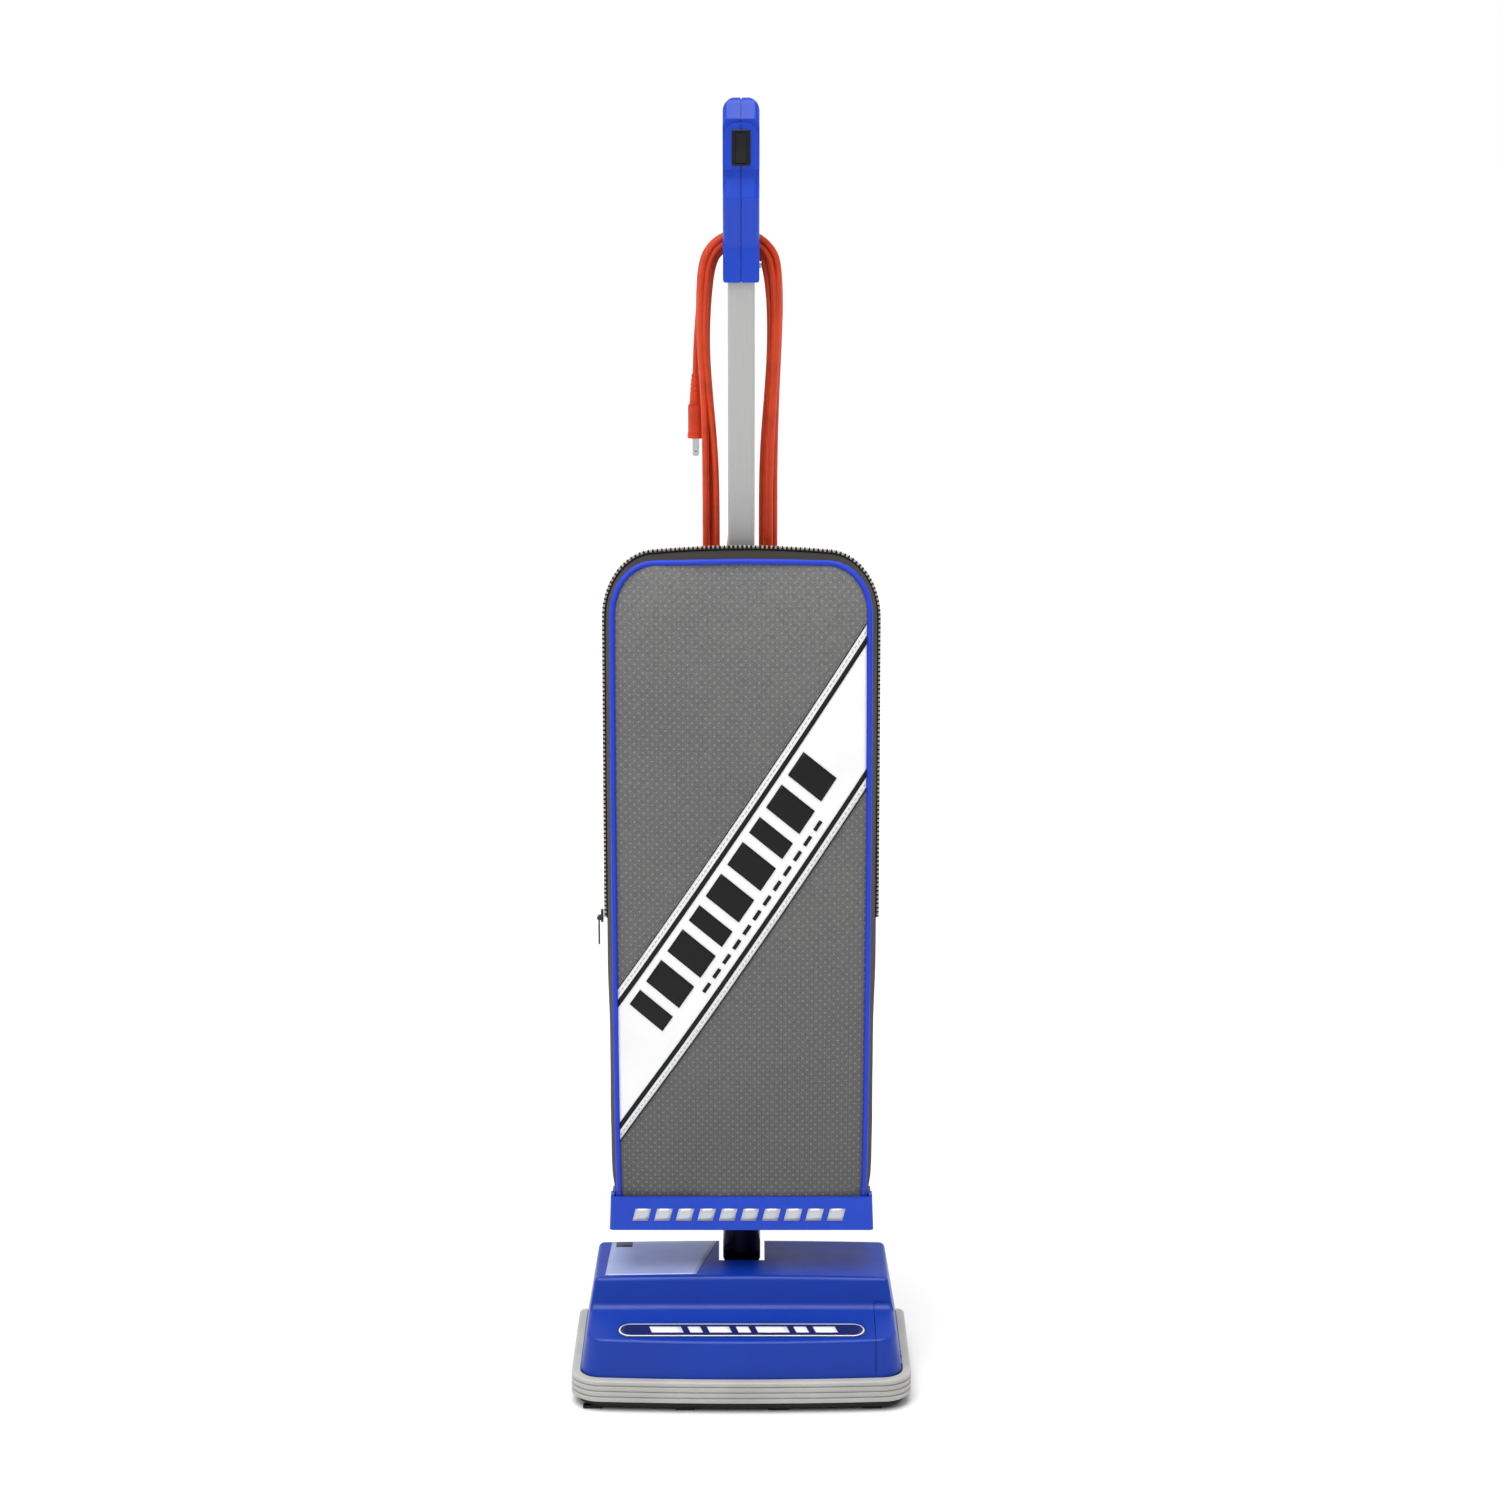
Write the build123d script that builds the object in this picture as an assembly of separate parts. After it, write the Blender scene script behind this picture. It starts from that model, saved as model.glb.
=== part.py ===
"""Commercial upright vacuum cleaner: a low floor nozzle with a belt-driven brush roll, a swivel neck,
a flat handle tube carrying a cloth dust bag, and a loop grip with a rocker switch and cord hooks.

Units are millimetres. +Z is up, +X is the machine's right seen from the front, and +Y points from the
nozzle's front edge towards the person who pushes it. The origin is on the floor, under the middle of
the machine's overall width and depth.
"""

import math
import os

from build123d import *

# ---------------------------------------------------------------- driving dimensions
BASE_WIDTH = 324.0  # over the bumper
TOTAL_DEPTH = 266.0  # bumper front to the back of the loop grip
TOTAL_HEIGHT = 1220.0
TUBE_WIDTH, TUBE_DEPTH, TUBE_WALL = 25.4, 16.0, 1.4
CORD_DIAMETER = 6.2
WALL = 2.5  # moulded shells
FIT = 0.06  # radial clearance of a running fit
GAP = 0.3  # clearance between loose neighbours

FRONT = -TOTAL_DEPTH / 2


def back(distance):
    """Y of a point that far behind the bumper's front edge."""
    return FRONT + distance


# ---------------------------------------------------------------- base
GLIDE_HEIGHT = 3.2
PLATE_TOP = 9.8
FLOOR_BOTTOM = PLATE_TOP + 0.2  # underside of the chassis
BUMPER_BOTTOM, BUMPER_TOP, BUMPER_THICK = 10.2, 31.5, 8.0
BUMPER_RIBS, RIB_GROOVE = 4, 0.9
HOOD_BOTTOM = 31.0
SIDE_DRAFT = 9.5  # degrees, on all the hood's outer walls
FRONT_BOW = 6.5  # how far the front edge bulges at the middle
BASE_REAR = back(190)
HOOD_HALF = BASE_WIDTH / 2 - BUMPER_THICK - 0.35
SHELF_FRONT_Z, SHELF_REAR_Z = 66.0, 75.5
RISER_BOTTOM_Y, RISER_TOP_Y = back(77), back(86)
CROWN_Z, CROWN_RADIUS, CROWN_TILT = 105.0, 5500.0, 1.85  # the crown rises towards the rear
NOTCH_HALF, NOTCH_FRONT = 22.4, back(125)

BRUSH_Y, BRUSH_Z, BRUSH_RADIUS, BRISTLE_RADIUS = back(45), 26.0, 16.0, 24.5
MOTOR_Y, MOTOR_Z, MOTOR_RADIUS, SHAFT_RADIUS = back(112), 59.0, 36.0, 4.0
PULLEY_RADIUS, GROOVE_RADIUS, BELT_THICK = 6.0, 15.0, 2.2
FAN_RADIUS, SCROLL_RADIUS, DUCT_RADIUS = 29.5, 33.6, 9.5
BELT_X = 129.0
AXLE_Y, WHEEL_RADIUS, WHEEL_X, WHEEL_WIDTH = back(190), 24.0, 116.0, 16.0
AXLE_RADIUS, TYRE_THICK, SHAFT_BEARING_RADIUS = 3.0, 3.5, 9.0

# ---------------------------------------------------------------- neck, tray and bag
PIVOT_Y, PIVOT_Z = back(158), 70.0
DRUM_RADIUS, DRUM_HALF = 27.0, 17.6
NECK_RADIUS = 18.3
NECK_LEAN = 12.0  # degrees forward of upright
TRUNNION_RADIUS, BUSH_RADIUS = 13.0, 15.0
TRAY_FRONT, TRAY_REAR = back(92), back(168)
TRAY_BOTTOM, TRAY_TOP, TRAY_HALF = 150.0, 183.0, 126.0
TRAY_DRAFT, TRAY_SIDE_TOP = 2.2, 168.0
TRAY_SCREW_X = 30.0
NECK_TOP_Y = PIVOT_Y - (TRAY_BOTTOM - PIVOT_Z) * math.tan(math.radians(NECK_LEAN))
TUBE_Y = back(180)
ZIP_Y, ZIP_WIDTH = back(150), 4.0
ZIP_END_Z = 441.0
BAG_HALF_ZIP = 130.5
BAG_BOTTOM, BAG_TOP = 155.4, 806.0
BAG_REAR = back(164.8)
CLOTH = 2.0
SHOULDER_RADIUS, FRONT_TAPER, REAR_TAPER = 52.0, 8.2, 6.0
ZIP_THICK = 1.7
PULL_X, PULL_Z = -BAG_HALF_ZIP - 6.6, ZIP_END_Z + 5
FILL_RADIUS, FILL_START = 14.3, 72.0

# ---------------------------------------------------------------- handle and cord
COLLAR_BOTTOM, COLLAR_TOP = 1051.0, 1083.0
GRIP_HALF = 17.0
SWITCH_Z, SWITCH_WIDTH = 1174.7, 17.2
COLLAR_FRONT_Y, COLUMN_BACK_Y = back(168.5), back(192)
CHIN_Y, CHIN_Z, FACE_Y = back(151), 1129.5, back(157)
POD_FRONT, POD_BOTTOM, POD_TOP = back(152.5), 1155.0, 1197.5
LOOP_BACK_Y, LOOP_BOTTOM = back(266), 1103.0
GRIP_SCREWS = [(back(184), 1203.5), (back(256), 1160.0), (back(208), 1110.5)]
ROCKER_HALF, ROCKER_AXIS_Y = 4.8, POD_FRONT + 2.0
TUBE_BOTTOM, TUBE_END = 150.5, 1120.0
SOCKET_SCREWS_Z, CLAMP_SCREW_Z = (172.0, 218.0), 1067.0
RELIEF_Y, RELIEF_RADIUS = back(228), 6.0
WIRE_RADIUS = 2.2
WIRE_Y, CROSS_SCREW_Y = TUBE_Y - 2.5, TUBE_Y + 2.4  # the wire passes in front of the cross screws
HANK_TOP_Z, HANK_BOTTOM_Z = 1060.2, 545.0  # centres of the hank's end arcs
HANK_BULGE_Z, HANK_WAIST_Z = 1020.0, 900.0  # its widest place, and where its straight run starts
HANK_INNER_TOP, HANK_OUTER_TOP = 18.6, 39.2
HANK_INNER_BULGE, HANK_OUTER_BULGE = 23.6, 42.6
HANK_INNER_RUN, HANK_OUTER_RUN = 16.0, 37.3
HANK_FRONT_Y, HANK_REAR_Y = TUBE_Y + 12.6, TUBE_Y + 33.0
LOWER_HOOK_Z = 538.5
PLATE_SCREWS_Z = (LOWER_HOOK_Z - 12, LOWER_HOOK_Z + 14)
SEAM_HALF, SEAM_DEPTH = 0.75, 1.1


# ---------------------------------------------------------------- helpers
def block(x0, x1, y0, y1, z0, z1):
    """A box from its corner coordinates."""
    return Pos((x0 + x1) / 2, (y0 + y1) / 2, (z0 + z1) / 2) * Box(
        abs(x1 - x0), abs(y1 - y0), abs(z1 - z0)
    )


def rod_x(x0, x1, y, z, radius):
    """A round bar along X."""
    return Pos((x0 + x1) / 2, y, z) * Rot(0, 90, 0) * Cylinder(radius, abs(x1 - x0))


def rod_y(y0, y1, x, z, radius):
    """A round bar along Y."""
    return Pos(x, (y0 + y1) / 2, z) * Rot(90, 0, 0) * Cylinder(radius, abs(y1 - y0))


def rod_z(z0, z1, x, y, radius):
    """A round bar along Z."""
    return Pos(x, y, (z0 + z1) / 2) * Cylinder(radius, abs(z1 - z0))


def side_profile(edges, x0, x1):
    """A closed outline of (Y, Z) edges, made solid from x0 to x1."""
    return extrude(Plane.YZ.offset(x0) * make_face(edges), amount=x1 - x0)


def polygon(*points):
    """A closed outline through the given points."""
    return Polyline(*points, close=True)


def mirrored(shape):
    """The shape and its mirror image in the YZ plane, as separate solids."""
    return Compound(children=[*shape.solids(), *mirror(shape, about=Plane.YZ).solids()])


def largest(shape):
    """The biggest solid of a shape that a cut has left in pieces."""
    return max(shape.solids(), key=lambda solid: solid.volume)


def group(shapes):
    """Separate solids kept as one sub-part."""
    return Compound(children=[s for shape in shapes for s in shape.solids()])


def save(name, shape):
    """Writes one sub-part."""
    export_step(shape, os.path.join("parts", name + ".step"))


# ---------------------------------------------------------------- base: shells
def base_outline(half_width, front, rear, corner, rear_corner=8.0):
    """The base's plan: a bowed front edge, round corners and straight sides."""
    edges = [
        ThreePointArc((-half_width, front + FRONT_BOW), (0, front), (half_width, front + FRONT_BOW)),
        Polyline(
            (half_width, front + FRONT_BOW),
            (half_width, rear),
            (-half_width, rear),
            (-half_width, front + FRONT_BOW),
        ),
    ]
    face = make_face(edges)
    fronts = face.vertices().filter_by_position(Axis.Y, front, front + 2 * FRONT_BOW)
    face = fillet(fronts, corner)
    rears = face.vertices().filter_by_position(Axis.Y, rear - 0.01, rear + 0.01)
    return fillet(rears, rear_corner)


def hood_solid(inset):
    """The hood's outer shape for inset 0, or the space inside its wall."""
    plan = base_outline(HOOD_HALF - inset, back(9) + inset, BASE_REAR - inset, 24 - inset, 18 - inset)
    tapered = extrude(Pos(0, 0, HOOD_BOTTOM) * plan, amount=90, taper=SIDE_DRAFT)
    slope = (SHELF_REAR_Z - SHELF_FRONT_Z) / (RISER_BOTTOM_Y - back(14.5))
    shelf_start = SHELF_FRONT_Z - slope * 20 - inset
    profile = make_face(
        polygon(
            (back(-5.5), shelf_start),
            (RISER_BOTTOM_Y + inset, SHELF_REAR_Z - inset),
            (RISER_TOP_Y + inset, CROWN_Z + 4),
            (BASE_REAR + 20, CROWN_Z + 14),
            (BASE_REAR + 20, HOOD_BOTTOM - 5),
            (back(-5.5), HOOD_BOTTOM - 5),
        )
    )
    valley = profile.vertices().filter_by_position(Axis.X, RISER_BOTTOM_Y, RISER_BOTTOM_Y + 3)
    profile = fillet(valley, 9)
    body = tapered & extrude(Plane.YZ.offset(-200) * profile, amount=400)
    tilted = Pos(0, RISER_TOP_Y, CROWN_Z - inset) * Rot(CROWN_TILT, 0, 0)
    return body & tilted * rod_y(-150, 250, 0, -CROWN_RADIUS, CROWN_RADIUS)


def notch_box(margin, top=200.0):
    """The slot at the rear of the base where the neck swings."""
    return block(
        -NOTCH_HALF - margin, NOTCH_HALF + margin, NOTCH_FRONT - margin, BASE_REAR + 30, 36 - margin, top
    )


def door_region(margin):
    """The front right corner of the hood, which the belt door covers."""
    return block(
        DOOR_SEAM_X + margin, 200, back(-20), RISER_BOTTOM_Y + 2 - margin, HOOD_BOTTOM - 1, 120
    )


def wheel_wells(margin):
    """The space that the two rear wheels need."""
    wells = [
        block(
            side * WHEEL_X - WHEEL_WIDTH / 2 - margin,
            side * WHEEL_X + WHEEL_WIDTH / 2 + margin,
            AXLE_Y - WHEEL_RADIUS - margin,
            AXLE_Y + WHEEL_RADIUS + 10,
            -5,
            2 * WHEEL_RADIUS + margin,
        )
        for side in (-1, 1)
    ]
    return wells[0] + wells[1]


def hood_and_door():
    """The blue hood and the belt door, which are one smooth shell with a seam between them."""
    outer = hood_solid(0)
    creases = outer.edges().filter_by_position(Axis.Z, 62, 110)
    outer = fillet([e for e in creases if e.center().Y < back(30) and e.length > 100], 4)
    tops = outer.edges().filter_by_position(Axis.Z, 92, 115)
    rims = [e for e in tops if e.center().Y > back(90)]
    outer = fillet(rims + [e for e in tops if e.center().Y < back(90) and e.length > 200], 5)
    shell = outer - notch_box(0)
    shell -= hood_solid(WALL) - notch_box(WALL)
    shell -= block(-200, 200, back(-20), BASE_REAR + 20, 0, HOOD_BOTTOM + 0.2)
    shell -= wheel_wells(2.5)
    slot = TRUNNION_RADIUS + 1.5
    for side in (-1, 1):  # the trunnions drop into these from below
        x0, x1 = sorted((side * (NOTCH_HALF - 1), side * (NOTCH_HALF + WALL + 1)))
        shell -= rod_x(x0, x1, PIVOT_Y, PIVOT_Z, slot)
        shell -= block(x0, x1, PIVOT_Y - slot, PIVOT_Y + slot, 30, PIVOT_Z)
    door = shell & door_region(DOOR_GAP)
    hood = shell - door_region(0)
    door -= rod_x(143, 165, RISER_BOTTOM_Y + 2, SHELF_REAR_Z - 3, 4)  # a notch for a finger
    return largest(hood), largest(door)


DOOR_SEAM_X, DOOR_GAP = 127.4, 0.6
DOOR_PIN_X, DOOR_PIN_Z, DOOR_PIN_RADIUS, EYE_RADIUS = 152.1, 34.6, 0.9, 1.8
DOOR_EARS = (back(40), back(62))  # the middle of each hinge


def door_with_ears(door):
    """The belt door with a knuckle at each hinge, cut clear of the eyes beside it."""
    for y in DOOR_EARS:
        for y0, y1 in eye_spans(y):
            door -= block(140, 160, y0 - 0.4, y1 + 0.4, 25, DOOR_PIN_Z + EYE_RADIUS + 0.5)
        door += rod_y(y - 3, y + 3, DOOR_PIN_X, DOOR_PIN_Z, EYE_RADIUS)
    for y in DOOR_EARS:
        door -= rod_y(y - 4, y + 4, DOOR_PIN_X, DOOR_PIN_Z, DOOR_PIN_RADIUS + FIT)
    return largest(door)


def eye_spans(y):
    """Where the chassis's two eyes of a hinge lie along Y."""
    return ((y - 6.4, y - 3.4), (y + 3.4, y + 6.4))


def bumper():
    """A soft ribbed band round the front and sides: four rounded ribs with grooves between them."""
    half, rear = BASE_WIDTH / 2, back(188)
    pitch = (BUMPER_TOP - BUMPER_BOTTOM + RIB_GROOVE) / BUMPER_RIBS
    core = base_outline(half - 1.4, FRONT + 1.4, rear, 28)
    ring = extrude(Pos(0, 0, BUMPER_BOTTOM + 0.4) * core, amount=BUMPER_TOP - BUMPER_BOTTOM - 2)
    for index in range(BUMPER_RIBS):
        z0 = BUMPER_BOTTOM + index * pitch
        z1 = z0 + pitch - RIB_GROOVE
        rib = extrude(Pos(0, 0, z0) * base_outline(half, FRONT, rear, 29.4), amount=z1 - z0)
        rims = rib.edges().filter_by_position(Axis.Z, z0 - 0.01, z0 + 0.01)
        rib = fillet(rims, 1.2)
        rims = rib.edges().filter_by_position(Axis.Z, z1 - 0.01, z1 + 0.01)
        rib = fillet(rims, 2.4 if index == BUMPER_RIBS - 1 else 1.2)
        ring = ring + rib
    inner = base_outline(half - BUMPER_THICK, FRONT + BUMPER_THICK, BASE_REAR + 60, 21.4)
    return largest(ring - extrude(inner, amount=60))


def chassis():
    """The black tub under the hood, with the bearings, brackets and walls that carry everything."""
    edge = BUMPER_THICK + 0.3
    outline = base_outline(BASE_WIDTH / 2 - edge, FRONT + edge, BASE_REAR, 21)
    inner = base_outline(HOOD_HALF - 6, back(9) + 6, BASE_REAR - 3, 18)
    tub = extrude(Pos(0, 0, FLOOR_BOTTOM) * outline, amount=HOOD_BOTTOM - FLOOR_BOTTOM)
    tub -= extrude(Pos(0, 0, FLOOR_BOTTOM + 3) * inner, amount=40)
    tub -= block(-146, 141, back(17), back(81), 0, 40)  # the brush chamber is open below
    tub += block(-146, 124, back(81), back(84), FLOOR_BOTTOM, HOOD_BOTTOM)  # its rear wall
    for x0, x1 in ((-151, -146), (141, 146)):  # ledges that carry the roll's end bearings
        tub += block(x0, x1, back(30), back(60), FLOOR_BOTTOM, HOOD_BOTTOM)
    tub -= rod_x(-149.2, 144.2, BRUSH_Y, BRUSH_Z, SHAFT_RADIUS + 0.5)
    for side in (-1, 1):  # pivot bearings beside the notch
        x0, x1 = sorted((side * 25.4, side * 32.0))
        tub += block(x0, x1, PIVOT_Y - 20, PIVOT_Y + 20, FLOOR_BOTTOM, PIVOT_Z)
        tub += rod_x(x0, x1, PIVOT_Y, PIVOT_Z, 20)
        tub -= rod_x(x0 - 1, x1 + 1, PIVOT_Y, PIVOT_Z, BUSH_RADIUS)
    for x0, x1 in ((-124, -118), (-50, -44)):  # motor cradle
        tub += block(x0, x1, MOTOR_Y - 28, MOTOR_Y + 28, FLOOR_BOTTOM, MOTOR_Z - 15)
    tub -= rod_x(-130, -30, MOTOR_Y, MOTOR_Z, MOTOR_RADIUS + 0.2)
    tub += block(100, 106, MOTOR_Y - 14, MOTOR_Y + 14, FLOOR_BOTTOM, MOTOR_Z + 12)  # shaft pedestal
    tub -= rod_x(98, 108, MOTOR_Y, MOTOR_Z, SHAFT_BEARING_RADIUS)
    tub -= wheel_wells(2.5)
    for side in (-1, 1):  # axle brackets either side of each wheel
        for x in (WHEEL_X - WHEEL_WIDTH / 2 - 6.5, WHEEL_X + WHEEL_WIDTH / 2 + 3.0):
            x0, x1 = sorted((side * x, side * (x + 3.5)))
            tub += block(x0, x1, AXLE_Y - 20, AXLE_Y - 0.2, FLOOR_BOTTOM, HOOD_BOTTOM)
            tub += rod_x(x0, x1, AXLE_Y - 0.2, WHEEL_RADIUS, 6.8)
            tub -= rod_x(x0 - 1, x1 + 1, AXLE_Y, WHEEL_RADIUS, AXLE_RADIUS)
    tub -= block(143.5, 160, back(-5), RISER_BOTTOM_Y + 3, HOOD_BOTTOM - 0.9, 60)  # room for the door's edge
    for y in DOOR_EARS:  # eyes for the belt door's hinge pins
        for y0, y1 in eye_spans(y):
            tub += rod_y(y0, y1, DOOR_PIN_X, DOOR_PIN_Z, EYE_RADIUS)
            tub += block(DOOR_PIN_X - 3, DOOR_PIN_X + 1.2, y0, y1, HOOD_BOTTOM - 3, DOOR_PIN_Z - 0.5)
            tub -= rod_y(y0 - 1, y1 + 1, DOOR_PIN_X, DOOR_PIN_Z, DOOR_PIN_RADIUS)
    for x, y in HOOD_SCREW_SPOTS:
        tub += rod_z(FLOOR_BOTTOM, 45, x, y, 5.5)
        tub -= rod_z(PLATE_TOP - 5, 40, x, y, 2.1)
        tub -= rod_z(PLATE_TOP - 5, FLOOR_BOTTOM + 3, x, y, 4.3)
    for x, y in LATCH_SPOTS:
        tub += rod_z(FLOOR_BOTTOM, FLOOR_BOTTOM + 8, x, y, 12)
        tub -= rod_z(PLATE_TOP - 5, FLOOR_BOTTOM + 5.2, x, y, LATCH_RADIUS + 0.4)
    return largest(tub)


HOOD_SCREW_SPOTS = [(-138, back(150)), (138, back(150)), (-138, back(98)), (80, back(160))]
LATCH_SPOTS, LATCH_RADIUS = [(-84, back(146)), (66, back(168))], 9.0
WINDOW = (-140, 141, back(18), back(80))  # the nozzle opening in the base plate


def door_pins():
    """The belt door's two hinge pins, fast in the chassis eyes."""
    return group([rod_y(y - 6.4, y + 6.4, DOOR_PIN_X, DOOR_PIN_Z, DOOR_PIN_RADIUS) for y in DOOR_EARS])


def base_plate():
    """The flat black plate that slides over the floor, with the brush window."""
    outline = base_outline(156, back(4.5), back(160), 24)
    plate = extrude(Pos(0, 0, GLIDE_HEIGHT) * outline, amount=PLATE_TOP - GLIDE_HEIGHT)
    lower = plate.edges().filter_by_position(Axis.Z, GLIDE_HEIGHT - 0.01, GLIDE_HEIGHT + 0.01)
    plate = chamfer(lower, 2.2)
    x0, x1, y0, y1 = WINDOW
    plate -= block(x0, x1, y0, y1, 0, 20)
    plate += block(36, 96, back(150), back(182), GLIDE_HEIGHT, PLATE_TOP)  # tongue round the right latch
    for x, y in LATCH_SPOTS:
        plate -= rod_z(0, 20, x, y, LATCH_RADIUS + GAP)
    return largest(plate)


def guard_bars():
    """Wire guards under the brush window, between the tufts."""
    return group([rod_y(back(15), back(84), x, GLIDE_HEIGHT - 1, 1.0) for x in GUARD_SPOTS])


def glides():
    """Four hard feet under the plate's front lip."""
    spots = ((-141.5, 12.5), (-53.5, 8.5), (35, 8.5), (124, 12.5))  # X, and distance from the front
    feet = [block(x - 9, x + 9, back(y), back(y + 6), 0, GLIDE_HEIGHT) for x, y in spots]
    return group([fillet(f.edges().filter_by_position(Axis.Z, -0.01, 0.01), 0.9) for f in feet])


def latches():
    """Quarter-turn latches that hold the base plate: slotted discs."""
    made = []
    for x, y in LATCH_SPOTS:
        disc = rod_z(GLIDE_HEIGHT + 0.6, PLATE_TOP + 4.2, x, y, LATCH_RADIUS)
        disc -= block(x - 7.5, x + 7.5, y - 1.1, y + 1.1, 0, GLIDE_HEIGHT + 3.2)
        made.append(disc)
    return made


# ---------------------------------------------------------------- base: drive
def brush_roller():
    """The wooden roller, with a groove for the belt and a stub shaft at each end."""
    roll = rod_x(-139.5, 121, BRUSH_Y, BRUSH_Z, BRUSH_RADIUS)
    roll += rod_x(120, 138, BRUSH_Y, BRUSH_Z, GROOVE_RADIUS)  # belt groove between two flanges
    for x0, x1 in ((120.0, 121.5), (136.5, 138.0)):
        roll += rod_x(x0, x1, BRUSH_Y, BRUSH_Z, GROOVE_RADIUS + 3.2)
    roll += rod_x(-149, 144, BRUSH_Y, BRUSH_Z, SHAFT_RADIUS)
    return largest(roll)


TUFTS_PER_ROW, TUFT_START, TUFT_PITCH, ROW_TURNS = 22, -134.0, 11.9, 0.9
GUARD_SPOTS = [TUFT_START + TUFT_PITCH * (gap + 0.5) for gap in (3, 8, 11, 15, 19)]


def bristles():
    """Two helical rows of tufts round the roller."""
    length = BRISTLE_RADIUS - BRUSH_RADIUS + 3
    tuft = Pos(0, 0, (BRUSH_RADIUS + BRISTLE_RADIUS) / 2) * Cylinder(2.4, length)
    tufts = []
    for row in (0, 180):
        for i in range(TUFTS_PER_ROW):
            angle = row + 360 * ROW_TURNS * i / (TUFTS_PER_ROW - 1)
            tufts.append(Pos(TUFT_START + i * TUFT_PITCH, BRUSH_Y, BRUSH_Z) * Rot(angle, 0, 0) * tuft)
    return group(tufts)


def roll_bearings():
    """The blocks that the roller's stub shafts turn in."""
    made = []
    for x0, x1 in ((-146, -142.4), (139, 141)):
        bearing = block(x0, x1, BRUSH_Y - 9, BRUSH_Y + 9, PLATE_TOP + 1, BRUSH_Z + 12)
        made.append(bearing - rod_x(x0 - 1, x1 + 1, BRUSH_Y, BRUSH_Z, SHAFT_RADIUS + FIT))
    return group(made)


def edge_brushes():
    """Short bristle strips at the window's left and right ends."""
    spans = ((-139.8, -137.2), (138.4, 140.8))
    return group([block(x0, x1, back(29), back(66), 1.4, 9.5) for x0, x1 in spans])


def belt():
    """A flat drive belt round the motor pulley and the roller's groove."""
    dy, dz = MOTOR_Y - BRUSH_Y, MOTOR_Z - BRUSH_Z
    span = math.hypot(dy, dz)

    def loop(extra):
        """The belt line, a given distance outside the two pulleys."""
        small, large = PULLEY_RADIUS + extra, GROOVE_RADIUS + extra
        lean = math.degrees(math.asin((large - small) / span))
        circles = Circle(large) + Pos(span, 0) * Circle(small)
        c, s = math.cos(math.radians(90 - lean)), math.sin(math.radians(90 - lean))
        web = make_face(
            polygon(
                (large * c, large * s),
                (span + small * c, small * s),
                (span + small * c, -small * s),
                (large * c, -large * s),
            )
        )
        return circles + web

    plane = Plane(origin=(BELT_X - 5, BRUSH_Y, BRUSH_Z), x_dir=(0, dy, dz), z_dir=(1, 0, 0))
    return extrude(plane * (loop(0.25 + BELT_THICK) - loop(0.25)), amount=10)


def motor_housing():
    """The motor's steel can, with a bearing boss at each end and cooling slots."""
    can = rod_x(-126, -42, MOTOR_Y, MOTOR_Z, MOTOR_RADIUS)
    can -= rod_x(-123, -45, MOTOR_Y, MOTOR_Z, MOTOR_RADIUS - 2)
    can += rod_x(-132, -123, MOTOR_Y, MOTOR_Z, 12) + rod_x(-45, -37, MOTOR_Y, MOTOR_Z, 12)
    can -= rod_x(-140, -30, MOTOR_Y, MOTOR_Z, SHAFT_RADIUS + FIT)
    for angle in range(0, 360, 45):
        can -= Pos(-110, MOTOR_Y, MOTOR_Z) * Rot(angle, 0, 0) * Pos(0, 0, MOTOR_RADIUS) * Box(20, 5, 8)
    return can


def field_core():
    """The laminated ring round the armature, pressed into the can."""
    core = rod_x(-98, -58, MOTOR_Y, MOTOR_Z, MOTOR_RADIUS - 2)
    return core - rod_x(-100, -56, MOTOR_Y, MOTOR_Z, 24)


def armature():
    """The motor's shaft with its laminated core and commutator."""
    rotor = rod_x(-130, 136, MOTOR_Y, MOTOR_Z, SHAFT_RADIUS)
    rotor += rod_x(-97, -59, MOTOR_Y, MOTOR_Z, 22.5)
    rotor += rod_x(-116, -104, MOTOR_Y, MOTOR_Z, 12)
    for angle in range(0, 360, 30):  # winding slots
        rotor -= Pos(-78, MOTOR_Y, MOTOR_Z) * Rot(angle, 0, 0) * Pos(0, 0, 21) * Box(40, 2.4, 7)
    return rotor


def fan():
    """A centrifugal fan: back plate, hub and swept blades."""
    disc = rod_x(54, 56, MOTOR_Y, MOTOR_Z, FAN_RADIUS) + rod_x(54, 72, MOTOR_Y, MOTOR_Z, 9)
    blade = Pos(63, MOTOR_Y, MOTOR_Z) * Rot(18, 0, 0) * (Pos(0, 0, FAN_RADIUS - 11) * Box(15, 2, 21))
    for angle in range(0, 360, 45):
        disc += blade.rotate(Axis((0, MOTOR_Y, MOTOR_Z), (1, 0, 0)), angle)
    return disc - rod_x(50, 80, MOTOR_Y, MOTOR_Z, SHAFT_RADIUS)


def motor_pulley():
    """The small pulley on the shaft's right end."""
    pulley = rod_x(122, 136, MOTOR_Y, MOTOR_Z, PULLEY_RADIUS)
    return pulley - rod_x(120, 140, MOTOR_Y, MOTOR_Z, SHAFT_RADIUS)


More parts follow.
